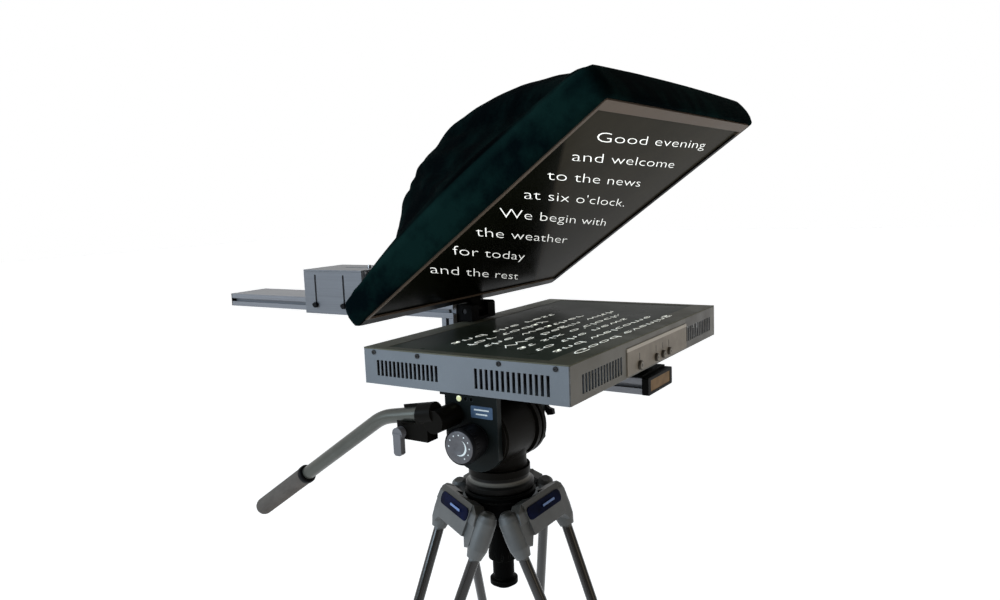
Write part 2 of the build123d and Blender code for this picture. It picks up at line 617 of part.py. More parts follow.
CLAMP_HUB = (-36.0, -132.0)       # X and height below the monitor top of the handle rosette


def handle_points():
    return [Vector(x, HANDLE_Y, TOP + z) for x, z in HANDLE_PATH]


def handle_clamp():
    start, bend, _ = handle_points()
    run = (bend - start).normalized()
    face = HEAD_LEFT - GAP
    body = rod_y(CLAMP_HUB[0], TOP + CLAMP_HUB[1], 17.0, (-112, face))
    body += rod_y(CLAMP_HUB[0], TOP + CLAMP_HUB[1], 6.0, (face, face + 7.5))
    barrel = Plane(origin=start - run * 8, z_dir=run) * Pos(0, 0, 29) * Cylinder(16.0, 58)
    body += barrel
    body += block((-104, -48), (-110, -86), (TOP - 164, TOP - 128))
    socket = Plane(origin=start, z_dir=run) * Pos(0, 0, 40) * Cylinder(HANDLE_R, 80)
    body -= socket
    body -= block((-110, -66), (-130, -100), (TOP - 137, TOP - 110))
    body -= rod_y(WING_AXIS[0], WING_AXIS[1], 4.0 + SLIP, (-111, -92))
    save("handle_clamp", body)


def pan_handle():
    start, bend, end = handle_points()
    tip = bend + (end - bend) * 0.97
    path = FilletPolyline(start, bend, tip, radius=90)
    section = Plane(origin=path @ 0, z_dir=path % 0) * Circle(HANDLE_R)
    save("pan_handle", sweep(section, path=path))


def handle_grip():
    _, bend, end = handle_points()
    run = (end - bend).normalized()
    grip_from = bend + (end - bend) * GRIP_START
    length = (end - grip_from).length - GRIP_R
    body = Pos(0, 0, length / 2) * Cylinder(GRIP_R, length) + Pos(0, 0, length) * Sphere(GRIP_R)
    body = Plane(origin=grip_from, z_dir=run) * body
    tip = bend + (end - bend) * 0.97
    hole = Plane(origin=grip_from - run * 2, z_dir=run)
    depth = (tip - grip_from).length + 2
    body -= hole * Pos(0, 0, depth / 2) * Cylinder(HANDLE_R, depth)
    save("handle_grip", body)


def handle_wing():
    """Wing screw that locks the handle in its rosette."""
    x, z = WING_AXIS
    wing = rod_y(x, z, 9.0, (-121, -110.4)) + rod_y(x, z, 4.0, (-110.4, -93))
    paddle = block((x - 7, x + 7), (-122, -112), (z - 33, z))
    wing += chamfer(paddle.edges().filter_by(Axis.Y).group_by(Axis.Z)[0], 3.0)
    save("handle_wing", wing)


# ---- tripod ----------------------------------------------------------------------------
def crown():
    """Bowl casting with three lugs for the legs."""
    top = FLANGE_TOP - 12.3
    body = turned(((52.0, top), (54.0, top - 3), (54.0, top - 9), (44.0, top - 15), (41.0, top - 40),
                   (20.0, top - 46)))
    for azimuth in LEG_AZIMUTHS:
        lug = rod_y(PIVOT_R, PIVOT_Z, 13.0, (-21, 21))
        lug += block((20, PIVOT_R), (-21, 21), (PIVOT_Z - 13, PIVOT_Z + 13))
        lug -= rod_y(PIVOT_R, PIVOT_Z, 5.0, (-30, 30))
        body += Rot(0, 0, azimuth) * lug
    body -= Pos(0, 0, FLANGE_TOP - 8) * Sphere(BOWL_R + 0.1)
    body -= rod_z(0, 0, 11.0, (top - 60, top))
    save("crown", body)


def leg_pivots():
    pins = []
    for azimuth in LEG_AZIMUTHS:
        pins.append(Rot(0, 0, azimuth) * rod_y(PIVOT_R, PIVOT_Z, 5.0, (-40, 40)))
    save("leg_pivots", *pins)


def bowl_bolt():
    """Long clamp handle that draws the half ball into the bowl."""
    z = TOP - 317.0
    body = turned(((12.0, z + 15), (14.0, z), (16.5, z - 4), (22.5, z - 44), (22.5, z - 52), (16.5, z - 56),
                   (16.5, z - 84), (21.5, z - 86), (21.5, z - 93), (14.0, z - 98)))
    for i in range(12):
        body -= Rot(0, 0, 30 * i) * rod_z(23.8, 0, 2.2, (z - 50, z - 12))
    save("bowl_bolt", body - rod_z(0, 0, 5.0 + SLIP, (z - 40, z + 16)))


def on_leg(shape, azimuth):
    """Place a shape drawn with the pivot at the origin and the leg along -Z."""
    return Rot(0, 0, azimuth) * Pos(PIVOT_R, 0, PIVOT_Z) * Rot(0, -LEG_TILT, 0) * shape


def tube_between(p, q, radius):
    run = Vector(*q) - Vector(*p)
    return Plane(origin=p, z_dir=run.normalized()) * Pos(0, 0, run.length / 2) * Cylinder(radius, run.length)


def leg_socket(side):
    """Round-topped socket that receives one of the twin tubes."""
    axis = Plane(origin=(1, side * TUBE_SPREAD_TOP, YOKE_SOCKET_END), z_dir=(0, side * 0.06, 1))
    profile = turned(((11.0, 0), (14.8, 14), (15.4, 30), (14.6, 54), (12.0, 63), (7.0, 68)))
    return axis * profile


def leg_yoke():
    """Casting that straddles the crown lug and holds the twin tubes."""
    body = plate_yz(((-50, 24), (50, 24), (46, -24), (-46, -24)), (14.5, 21))
    for side in (-1, 1):
        shoulder = ((21.3, 12), (60, 12), (67, 2), (67, -30), (56, -36), (46, -24), (21.3, -22))
        crest = ((21.3, 24), (50, 24), (64, 14), (67, -2), (21.3, -2))
        body += plate_yz([(side * y, z) for y, z in shoulder], (-8, 17))
        body += plate_yz([(side * y, z) for y, z in crest], (2, 19))
        body += leg_socket(side)
    return body - rod_y(0, 0, 5.0 + SLIP, (-41, 41))


def leg_clamp():
    half = TUBE_SPREAD_LOW + TUBE_R + 5
    clamp = block((-15, 15), (-half, half), (CLAMP_BOTTOM, CLAMP_TOP))
    clamp = fillet(clamp.edges().filter_by(Axis.Z), 10.0)
    clamp += block((14, 20), (-13, 13), (CLAMP_BOTTOM + 4, CLAMP_TOP - 4))
    clamp -= block((15.5, 21), (-8.3, 8.3), (CLAMP_BOTTOM, CLAMP_TOP - 10))
    clamp -= rod_y(18, (CLAMP_TOP + CLAMP_BOTTOM) / 2 + 4, 2.0 + SLIP, (-14, 14))
    return clamp - rod_z(0, 0, LOWER_TUBE_R + SLIP, (CLAMP_BOTTOM - 1, CLAMP_TOP + 1))


def leg_upper():
    body = leg_yoke() + leg_clamp()
    for side in (-1, 1):
        body += tube_between((0, side * TUBE_SPREAD_TOP, YOKE_SOCKET_END + 2),
                             (0, side * TUBE_SPREAD_LOW, CLAMP_TOP - 2), TUBE_R)
    return body


def leg_lock():
    """Flip lever that pinches the lower tube."""
    z = (CLAMP_TOP + CLAMP_BOTTOM) / 2 + 4
    lever = rod_y(18, z, 2.0, (-12.6, 12.6)) + rod_y(18, z, 2.4, (-8, 8))
    lever += block((16, 20.4), (-8, 8), (z - 52, z))
    return lever + block((18, 23), (-10, 10), (z - 58, z - 23))


def leg_lower():
    length = PIVOT_Z / math.cos(math.radians(LEG_TILT))
    tube = rod_z(0, 0, LOWER_TUBE_R, (-length + 22, LOWER_TUBE_TOP))
    return tube - rod_z(0, 0, LOWER_TUBE_R - 1.5, (-length + 60, LOWER_TUBE_TOP + 1))


def foot(azimuth):
    """Rubber foot: a flat pad on the floor and a boot round the tube's end."""
    length = PIVOT_Z / math.cos(math.radians(LEG_TILT))
    centre = PIVOT_R + PIVOT_Z * math.tan(math.radians(LEG_TILT))
    pad = rod_z(centre, 0, REACH - centre, (0, FOOT_H))
    pad = chamfer(pad.edges().sort_by(Axis.Z)[-1], 5.0)
    boot = rod_z(0, 0, 16.0, (-length + 12, -length + 62))
    tube = rod_z(0, 0, LOWER_TUBE_R, (-length + 22, -length + 70))
    return Rot(0, 0, azimuth) * pad + on_leg(boot, azimuth) - on_leg(tube, azimuth)


def tripod():
    crown()
    leg_pivots()
    bowl_bolt()
    for number, azimuth in enumerate(LEG_AZIMUTHS, start=1):
        save(f"leg_{number}_upper", on_leg(leg_upper(), azimuth))
        save(f"leg_{number}_lock", on_leg(leg_lock(), azimuth))
        save(f"leg_{number}_lower", on_leg(leg_lower(), azimuth))
        save(f"foot_{number}", foot(azimuth))


def main():
    os.makedirs("parts", exist_ok=True)
    for make in (base_rail, camera_rail, riser_post, post_bolts, rail_end_caps, rail_nose_cap,
                 monitor_case, monitor_bezel, screen_glass, lcd_panel, driver_board, control_panel,
                 buttons, input_panel, case_screws, monitor_bracket, hinge_block, hinge_pin,
                 glass_frame, beamsplitter_glass, hood, hood_bow, riser_base,
                 riser_top, riser_knobs, carriage_screws, camera_screw, quick_plate, head_platform,
                 level_vial, plate_lever, head_body, tilt_axle, tilt_drag_knob, pan_base,
                 pan_lock_lever, handle_clamp, pan_handle, handle_grip, handle_wing, tripod):
        make()


main()
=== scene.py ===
import bpy
import json
import math
from mathutils import Matrix, Vector, noise


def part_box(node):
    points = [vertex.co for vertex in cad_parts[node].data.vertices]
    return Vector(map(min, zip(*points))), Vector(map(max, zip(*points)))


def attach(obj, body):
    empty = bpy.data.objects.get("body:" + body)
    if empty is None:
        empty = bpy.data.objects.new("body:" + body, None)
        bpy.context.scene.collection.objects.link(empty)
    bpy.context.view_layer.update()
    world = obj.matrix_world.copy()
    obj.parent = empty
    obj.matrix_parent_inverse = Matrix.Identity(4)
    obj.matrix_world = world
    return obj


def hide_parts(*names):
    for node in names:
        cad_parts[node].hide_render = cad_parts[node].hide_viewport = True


# Stand-mounted teleprompter: materials, hood cloth, displayed text and small trim.
# Metres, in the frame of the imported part: +Z up, +X towards the reader.

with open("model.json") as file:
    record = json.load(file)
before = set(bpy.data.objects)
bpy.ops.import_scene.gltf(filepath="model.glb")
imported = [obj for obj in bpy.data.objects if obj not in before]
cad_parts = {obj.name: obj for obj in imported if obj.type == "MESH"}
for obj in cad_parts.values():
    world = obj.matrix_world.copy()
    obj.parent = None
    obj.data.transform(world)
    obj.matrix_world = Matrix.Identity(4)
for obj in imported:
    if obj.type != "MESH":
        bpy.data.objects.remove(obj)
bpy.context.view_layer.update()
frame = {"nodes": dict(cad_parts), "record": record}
nodes = frame["nodes"]

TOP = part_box("monitor_bezel")[1].z            # height of the monitor's top face
SLOPE = math.radians(35.1)                    # slope of the glass above horizontal
FRAME_LEN = 0.424                             # the glass frame's length up the slope
FRAME_DEPTH = 0.016                           # and its depth through it
GLASS_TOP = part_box("glass_frame")[1]
FRAME_HALF = GLASS_TOP.y                      # half its width
FOOT = Vector((GLASS_TOP.x - FRAME_LEN * math.cos(SLOPE), 0.0,
               GLASS_TOP.z - FRAME_LEN * math.sin(SLOPE) - FRAME_DEPTH * math.cos(SLOPE)))
U = Vector((math.cos(SLOPE), 0.0, math.sin(SLOPE)))      # up the glass
V = Vector((0.0, 1.0, 0.0))                              # across it
D = Vector((-math.sin(SLOPE), 0.0, math.cos(SLOPE)))     # behind it
X, Y, Z = Vector((1, 0, 0)), Vector((0, 1, 0)), Vector((0, 0, 1))


# ---- node graphs -----------------------------------------------------------
class Graph:
    """A material's node tree with short calls for the nodes used here."""

    def __init__(self, name):
        self.material = bpy.data.materials.new(name)
        self.material.use_nodes = True
        self.tree = self.material.node_tree
        self.shader = self.tree.nodes["Principled BSDF"]
        self.place = self.add("ShaderNodeTexCoord").outputs["Object"]

    def add(self, kind, settings=None, **inputs):
        node = self.tree.nodes.new(kind)
        for key, value in (settings or {}).items():
            setattr(node, key, value)
        for key, value in inputs.items():
            self.put(node.inputs[key.replace("_", " ")], value)
        return node

    def put(self, socket, value):
        if isinstance(value, bpy.types.NodeSocket):
            self.tree.links.new(value, socket)
        else:
            socket.default_value = value

    def stretch(self, x, y, z):
        return self.add("ShaderNodeMapping", Vector=self.place, Scale=(x, y, z)).outputs[0]

    def noise(self, scale, detail=3.0, roughness=0.55, at=None):
        node = self.add("ShaderNodeTexNoise", Vector=at or self.place, Scale=scale, Detail=detail,
                        Roughness=roughness)
        return node.outputs["Fac"]

    def cells(self, scale):
        node = self.add("ShaderNodeTexVoronoi", Vector=self.place, Scale=scale)
        return node.outputs["Distance"]

    def span(self, value, low, high, to_low=0.0, to_high=1.0):
        node = self.add("ShaderNodeMapRange")
        for key, v in (("Value", value), ("From Min", low), ("From Max", high), ("To Min", to_low),
                       ("To Max", to_high)):
            self.put(node.inputs[key], v)
        return node.outputs[0]

    def step(self, value, place, fade):
        """0 below a place and 1 above it; a negative fade turns that round."""
        return self.span(value, place - fade, place + fade)

    def sum(self, a, b, how="ADD"):
        """Two values joined by a maths operation, a sum unless told otherwise."""
        node = self.add("ShaderNodeMath", {"operation": how})
        self.put(node.inputs[0], a)
        self.put(node.inputs[1], b)
        return node.outputs[0]

    def mix(self, share, a, b):
        node = self.add("ShaderNodeMix", {"data_type": "RGBA"})
        self.put(node.inputs["Factor"], share)
        for socket, value in ((node.inputs[6], a), (node.inputs[7], b)):
            self.put(socket, (*value, 1.0) if isinstance(value, tuple) else value)
        return node.outputs[2]

    def axis(self, index):
        return self.add("ShaderNodeSeparateXYZ", Vector=self.place).outputs[index]

    def edges(self, radius):
        """1 along sharp edges, 0 on flat faces."""
        bevel = self.add("ShaderNodeBevel", {"samples": 4}, Radius=radius).outputs[0]
        normal = self.add("ShaderNodeNewGeometry").outputs["Normal"]
        dot = self.add("ShaderNodeVectorMath", {"operation": "DOT_PRODUCT"})
        self.put(dot.inputs[0], bevel)
        self.put(dot.inputs[1], normal)
        return self.span(dot.outputs["Value"], 0.999, 0.90)

    def bump(self, height, distance, strength=1.0, rounding=0.0):
        node = self.add("ShaderNodeBump", Height=height, Distance=distance, Strength=strength)
        if rounding:
            bevel = self.add("ShaderNodeBevel", {"samples": 4}, Radius=rounding)
            self.put(node.inputs["Normal"], bevel.outputs[0])
        self.put(self.shader.inputs["Normal"], node.outputs[0])

    def set(self, **inputs):
        for key, value in inputs.items():
            name = key.replace("_", " ")
            if isinstance(value, tuple) and len(value) == 3:
                value = (*value, 1.0)
            self.put(self.shader.inputs[name], value)
        return self.material


def shade(colour, factor):
    return tuple(c * factor for c in colour)


def painted(name, colour, rough=0.42, metallic=0.0, wear=(0.30, 0.29, 0.28), wear_share=0.55,
            peel=900.0, peel_depth=0.00006, edge=0.0012, shine=0.20, tone=None):
    """Paint or powder coat: slight cloudiness, orange peel, thin wear on the edges."""
    g = Graph(name)
    cloud = g.span(g.noise(7.0, 4.0), 0.3, 0.7)
    body = g.mix(cloud, shade(colour, 0.86), shade(colour, 1.12))
    speck = g.span(g.noise(420.0, 2.0), 0.62, 0.78)
    body = g.mix(g.sum(speck, 0.35, "MULTIPLY"), body, shade(colour, 1.5))
    # a tone, where given, paints shade into the coat's colour
    body = tone(g, body) if tone else body
    patchy = g.span(g.noise(55.0, 5.0, 0.7), 0.42, 0.62)
    worn = g.sum(g.sum(g.edges(edge), patchy, "MULTIPLY"), wear_share, "MULTIPLY")
    g.bump(g.noise(peel, 2.0), peel_depth, 0.6, rounding=0.0006)
    return g.set(Base_Color=g.mix(worn, body, wear), Metallic=metallic, Specular_IOR_Level=shine,
                 Roughness=g.span(g.noise(24.0, 4.0), 0.3, 0.7, rough - 0.07, rough + 0.09))


def brushed(name, colour, rough=0.36, along=(8.0, 900.0, 900.0), metallic=0.85, wear=(0.62, 0.62, 0.63)):
    """Anodised or brushed metal with streaks along one axis."""
    g = Graph(name)
    streak = g.noise(1.0, 3.0, 0.6, at=g.stretch(*along))
    cloud = g.noise(9.0, 4.0)
    body = g.mix(g.span(streak, 0.3, 0.7), shade(colour, 0.86), shade(colour, 1.14))
    body = g.mix(g.span(cloud, 0.35, 0.75, 0.0, 0.25), body, shade(colour, 0.7))
    scuffs = g.span(g.noise(80.0, 6.0, 0.75), 0.56, 0.66)
    worn = g.sum(g.edges(0.0009), g.sum(scuffs, 0.2, "ADD"), "MULTIPLY")
    g.bump(streak, 0.00004, 0.5, rounding=0.0005)
    return g.set(Base_Color=g.mix(g.sum(worn, 0.5, "MULTIPLY"), body, wear), Metallic=metallic,
                 Specular_IOR_Level=0.25, Roughness=g.span(streak, 0.3, 0.7, rough - 0.06, rough + 0.1))


def moulded(name, colour, rough=0.5, grain=1400.0, depth=0.00008, shine=0.12):
    """Moulded plastic with spark grain, rubbed a little smoother on the edges."""
    g = Graph(name)
    cloud = g.span(g.noise(16.0, 4.0), 0.3, 0.7)
    rub = g.sum(g.edges(0.001), g.span(g.noise(60.0, 4.0), 0.35, 0.65), "MULTIPLY")
    body = g.mix(cloud, shade(colour, 0.85), shade(colour, 1.15))
    g.bump(g.cells(grain), depth, 0.7, rounding=0.0005)
    return g.set(Base_Color=g.mix(g.sum(rub, 0.35, "MULTIPLY"), body, shade(colour, 2.6)),
                 Roughness=g.span(rub, 0.0, 1.0, rough, rough - 0.15), Specular_IOR_Level=shine)


def foam(name, colour, pore=900.0, depth=0.0004, rough=0.92):
    g = Graph(name)
    pores = g.cells(pore)
    cloud = g.span(g.noise(30.0, 5.0, 0.6), 0.3, 0.7)
    body = g.mix(cloud, shade(colour, 0.78), shade(colour, 1.18))
    # pores painted darker: painted shade in the foam's pits
    body = g.mix(g.span(pores, 0.0, 0.28, 0.55, 0.0), body, shade(colour, 0.35))
    g.bump(g.sum(pores, g.noise(60.0), "ADD"), depth, 0.8)
    return g.set(Base_Color=body, Roughness=rough, Specular_IOR_Level=0.12, Sheen_Weight=0.06,
                 Sheen_Roughness=0.5)


# ---- materials of the record's slots ----------------------------------------
SKIN = 0.0004                      # depth under a face where its painted shade begins
FAR_VENT, VENT_FADE = (0.111, 0.221), 0.003        # sides of the far vent's painted shadow, across the monitor
PANEL_STRIP = 0.0045               # painted highlight along the control panel's top rim
SHADOW_LEAN, SHADOW_EDGE = 0.861, 0.1675           # the glass's painted shade ends on a slanting line, with painted reflection above it
YOKE_DROP, CREST_DROP, CLAMP_DROP = 0.3285, 0.2665, 0.820   # leg castings, below the monitor's top
SIDE_BAR, TOP_BAR, BOTTOM_BAR = 0.0120, 0.401, 0.0131       # black parts of the glass frame
BOARD_THICK = 0.00175
BEAD_LOW, BEAD_HIGH = 0.24175, 0.23675             # painted highlight on the turntable's bead, below the monitor's top


def front_painted_shade(g, body):
    """Painted shade on the monitor's front face: a browner, darker coat there, and a painted dark shadow
    round its far vent.
    """
    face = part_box("monitor_case")[1].x
    front = g.span(g.axis(0), face - 2 * SKIN, face - SKIN)
    near, far = (g.step(g.axis(1), place, VENT_FADE) for place in FAR_VENT)
    vent = g.sum(near, far, "SUBTRACT")
    body = g.mix(front, body, (0.072, 0.066, 0.052))
    return g.mix(g.sum(g.sum(front, vent, "MULTIPLY"), 0.65, "MULTIPLY"), body, (0.018, 0.014, 0.009))


def screen_black():
    g = Graph("screen_black")
    smear = g.noise(14.0, 5.0, 0.6)
    body = g.mix(g.span(smear, 0.35, 0.7), (0.028, 0.0350, 0.0265), (0.040, 0.0480, 0.0380))
    return g.set(Base_Color=body, Roughness=g.span(smear, 0.3, 0.7, 0.26, 0.34),
                 Specular_IOR_Level=0.003)


def bezel_black():
    g = Graph("bezel_black")
    cloud = g.span(g.noise(11.0, 5.0, 0.6), 0.35, 0.7)
    body = g.mix(cloud, (0.068, 0.0680, 0.0500), (0.096, 0.0950, 0.0720))
    body = g.mix(g.sum(g.edges(0.0009), 0.6, "MULTIPLY"), body, (0.09, 0.085, 0.07))
    g.bump(g.noise(1200.0, 2.0), 0.00004, 0.4, rounding=0.0005)
    return g.set(Base_Color=body, Roughness=g.span(g.noise(24.0, 4.0), 0.3, 0.7, 0.38, 0.50),
                 Specular_IOR_Level=0.015)


def mirror_glass():
    """Dark coated glass: a lighter painted reflection above a slanting line, painted near-black shade below
    it towards the lower left.
    """
    g = Graph("mirror_glass")
    smear = g.noise(9.0, 5.0, 0.6)
    across = g.sum(up_the_glass(g), g.sum(g.axis(1), SHADOW_LEAN, "MULTIPLY"))
    pale = g.step(g.sum(across, g.sum(g.noise(5.0), 0.016, "MULTIPLY")), SHADOW_EDGE, 0.0045)
    body = g.mix(g.span(smear, 0.35, 0.7), (0.020, 0.0175, 0.0120), (0.028, 0.0245, 0.0170))
    body = g.mix(pale, (0.0030, 0.0034, 0.0018), body)
    return g.set(Base_Color=body, Roughness=g.span(smear, 0.3, 0.7, 0.14, 0.22),
                 Specular_IOR_Level=0.003)


def control_grey():
    """Printed panel with a painted highlight along its top rim."""
    g = Graph("control_grey")
    rim_highlight = g.step(g.axis(2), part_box("control_panel")[1].z - PANEL_STRIP, 0.0003)
    cloud = g.span(g.noise(60.0, 4.0), 0.3, 0.7)
    body = g.mix(cloud, (0.140, 0.120, 0.096), (0.185, 0.162, 0.132))
    body = g.mix(rim_highlight, body, (0.34, 0.31, 0.27))
    g.bump(g.noise(1300.0, 2.0), 0.00004, 0.5, rounding=0.0004)
    return g.set(Base_Color=body, Roughness=0.48, Specular_IOR_Level=0.2)


def up_the_glass(g):
    """Distance up the glass slope, as a node value."""
    return g.sum(g.sum(g.sum(g.axis(0), FOOT.x, "SUBTRACT"), U.x, "MULTIPLY"),
                 g.sum(g.sum(g.axis(2), FOOT.z, "SUBTRACT"), U.z, "MULTIPLY"))


def behind_glass(g):
    """Distance behind the glass frame's front, as a node value."""
    return g.sum(g.sum(g.sum(g.axis(0), FOOT.x, "SUBTRACT"), D.x, "MULTIPLY"),
                 g.sum(g.sum(g.axis(2), FOOT.z, "SUBTRACT"), D.z, "MULTIPLY"))


def hood_cloth():
    """Napped cloth: deep teal-black, lighter on the band; painted shade darkens the hood's top and the cloth
    behind the band's ridge, most in the groove there, and a painted highlight runs along the ridge.
    """
    g = Graph("hood_cloth")
    pile_tone = g.span(g.sum(g.noise(20.0, 7.0, 0.7), g.noise(5.0, 3.0), "MULTIPLY"), 0.19, 0.34)
    body = g.mix(pile_tone, (0.0006, 0.0023, 0.0030), (0.0024, 0.0100, 0.0092))
    depth = behind_glass(g)
    rise, fall = (0.032, 0.041), (0.045, 0.051)
    sink, recover = (0.043, 0.052), (0.064, 0.105)
    # painted shade: darkest in the groove behind the ridge, a little lighter further back, and over the
    # hood's top
    groove_shade = g.sum(g.span(depth, *sink), g.span(depth, *recover, 0.0, 0.28), "SUBTRACT")
    top_shade = g.span(up_the_glass(g), FRAME_LEN - 0.005, FRAME_LEN + 0.007, 0.0, 0.72)
    shaded_pile = g.mix(pile_tone, (0.0002, 0.0006, 0.0009), (0.0012, 0.0042, 0.0042))
    body = g.mix(g.sum(groove_shade, top_shade, "MAXIMUM"), body, shaded_pile)
    # painted highlight along the band's ridge, left off the hood's top
    ridge = g.sum(g.span(depth, *rise), g.span(depth, *fall), "SUBTRACT")
    ridge = g.sum(g.sum(ridge, g.sum(1.0, top_shade, "SUBTRACT"), "MULTIPLY"), 0.26, "MULTIPLY")
    body = g.mix(ridge, body, (0.0055, 0.0210, 0.0190))
    lint = g.span(g.noise(700.0, 2.0, 0.7), 0.66, 0.80)
    body = g.mix(g.sum(lint, 0.25, "MULTIPLY"), body, (0.010, 0.022, 0.020))
    pile = g.noise(1500.0, 2.0, 0.8)
    g.bump(g.sum(pile, g.sum(g.noise(130.0, 4.0), 1.2, "MULTIPLY"), "ADD"), 0.0006, 0.55)
    return g.set(Base_Color=body, Roughness=0.96, Specular_IOR_Level=0.004, Sheen_Weight=0.002,
                 Sheen_Roughness=0.42, Sheen_Tint=(0.25, 0.75, 0.70))


def leg_black():
    """Charcoal castings at both ends of each leg section, glossy tubes between."""
    g = Graph("leg_black")
    height = g.axis(2)
    yoke = g.step(height, TOP - YOKE_DROP, 0.001)
    clamp = g.step(height, TOP - CLAMP_DROP, -0.001)
    casting = g.sum(yoke, clamp, "MAXIMUM")
    cloud = g.span(g.noise(18.0, 4.0), 0.3, 0.7)
    rough_skin = g.mix(cloud, (0.050, 0.053, 0.054), (0.078, 0.081, 0.081))
    gloss = g.mix(cloud, (0.006, 0.0052, 0.005), (0.011, 0.0095, 0.009))
    crest = g.step(height, TOP - CREST_DROP, 0.0015)
    crest_skin = g.mix(cloud, (0.0120, 0.0115, 0.0085), (0.020, 0.019, 0.015))
    rough_skin = g.mix(crest, rough_skin, crest_skin)
    body = g.mix(casting, gloss, rough_skin)
    worn = g.sum(g.sum(g.edges(0.0016), g.span(g.noise(60.0, 5.0, 0.7), 0.42, 0.62), "MULTIPLY"),
                 g.sum(casting, 0.55, "MULTIPLY"), "MULTIPLY")
    g.bump(g.sum(g.noise(700.0, 3.0), casting, "MULTIPLY"), 0.00016, 0.6, rounding=0.0008)
    return g.set(Base_Color=g.mix(worn, body, (0.17, 0.17, 0.17)), Specular_IOR_Level=0.42,
                 Roughness=g.span(casting, 0.0, 1.0, 0.17, 0.50))


def lower_tube():
    g = Graph("lower_tube")
    scratches = g.noise(1.0, 4.0, 0.7, at=g.stretch(700.0, 700.0, 9.0))
    body = g.mix(g.span(scratches, 0.56, 0.68), (0.016, 0.016, 0.017), (0.060, 0.060, 0.062))
    g.bump(scratches, 0.00003, 0.4)
    return g.set(Base_Color=body, Metallic=0.5, Roughness=g.span(scratches, 0.3, 0.7, 0.20, 0.34))


def vial():
    g = Graph("vial")
    glow = g.span(g.noise(300.0, 2.0), 0.3, 0.7)
    # the emission paints a faint yellow glow into the vial, though it is no lamp
    return g.set(Base_Color=g.mix(glow, (0.78, 0.76, 0.34), (0.92, 0.92, 0.66)), Roughness=0.08,
                 Coat_Weight=1.0, Coat_Roughness=0.03, Emission_Color=(0.9, 0.85, 0.4),
                 Emission_Strength=0.12)


def handle_tube():
    g = Graph("handle_tube")
    streak = g.noise(1.0, 3.0, 0.6, at=g.stretch(12.0, 600.0, 12.0))
    body = g.mix(g.span(g.noise(14.0, 4.0), 0.3, 0.7), (0.046, 0.047, 0.040), (0.066, 0.067, 0.058))
    marks = g.span(g.noise(260.0, 4.0, 0.8), 0.64, 0.70)
    body = g.mix(g.sum(marks, 0.35, "MULTIPLY"), body, (0.05, 0.05, 0.05))
    g.bump(g.sum(streak, marks, "SUBTRACT"), 0.00004, 0.5)
    return g.set(Base_Color=body, Metallic=0.55, Roughness=g.span(streak, 0.3, 0.7, 0.30, 0.42))


def board_green():
    g = Graph("board_green")
    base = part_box("driver_board")[0].z
    parts = g.step(g.axis(2), base + BOARD_THICK, 0.00015)
    tracks = g.span(g.cells(260.0), 0.02, 0.06)
    body = g.mix(tracks, (0.05, 0.16, 0.08), (0.015, 0.10, 0.05))
    return g.set(Base_Color=g.mix(parts, body, (0.02, 0.02, 0.022)), Roughness=0.45)


def frame_grey():
    """Brown-grey anodised frame with a black bottom bar and hinge lug."""
    g = Graph("frame_grey")
    streak = g.noise(1.0, 3.0, 0.6, at=g.stretch(7.0, 7.0, 7.0))
    body = g.mix(g.span(streak, 0.3, 0.7), (0.076, 0.058, 0.044), (0.103, 0.079, 0.061))
    scuffs = g.span(g.noise(80.0, 6.0, 0.75), 0.56, 0.66)
    body = g.mix(g.sum(g.sum(g.edges(0.0009), scuffs, "MULTIPLY"), 0.5, "MULTIPLY"), body,
                 (0.20, 0.18, 0.16))
    slope = up_the_glass(g)
    far_side = g.sum(g.step(g.axis(1), FRAME_HALF - SIDE_BAR, 0.0005), g.step(slope, TOP_BAR, -0.001),
                     "MULTIPLY")
    dark = g.sum(far_side, g.step(slope, BOTTOM_BAR, -0.0003), "MAXIMUM")
    body = g.mix(dark, body, (0.0025, 0.0025, 0.0022))
    g.bump(g.noise(900.0, 2.0), 0.00004, 0.4, rounding=0.0005)
    return g.set(Base_Color=body, Roughness=g.span(streak, 0.3, 0.7, 0.34, 0.48),
                 Specular_IOR_Level=0.03)


def pan_black():
    """Black turntable with a painted highlight on the bead round its neck."""
    g = Graph("pan_black")
    height = g.axis(2)
    low, high = (g.step(height, TOP - drop, 0.00075) for drop in (BEAD_LOW, BEAD_HIGH))
    bead_highlight = g.sum(low, high, "SUBTRACT")
    cloud = g.span(g.noise(18.0, 4.0), 0.3, 0.7)
    body = g.mix(cloud, (0.0030, 0.0028, 0.0024), (0.0048, 0.0044, 0.0038))
    body = g.mix(bead_highlight, body, (0.085, 0.080, 0.070))
    g.bump(g.noise(700.0, 2.0), 0.0001, 0.5, rounding=0.0006)
    return g.set(Base_Color=body, Roughness=g.span(g.noise(24.0, 4.0), 0.3, 0.7, 0.34, 0.46),
                 Specular_IOR_Level=0.10)


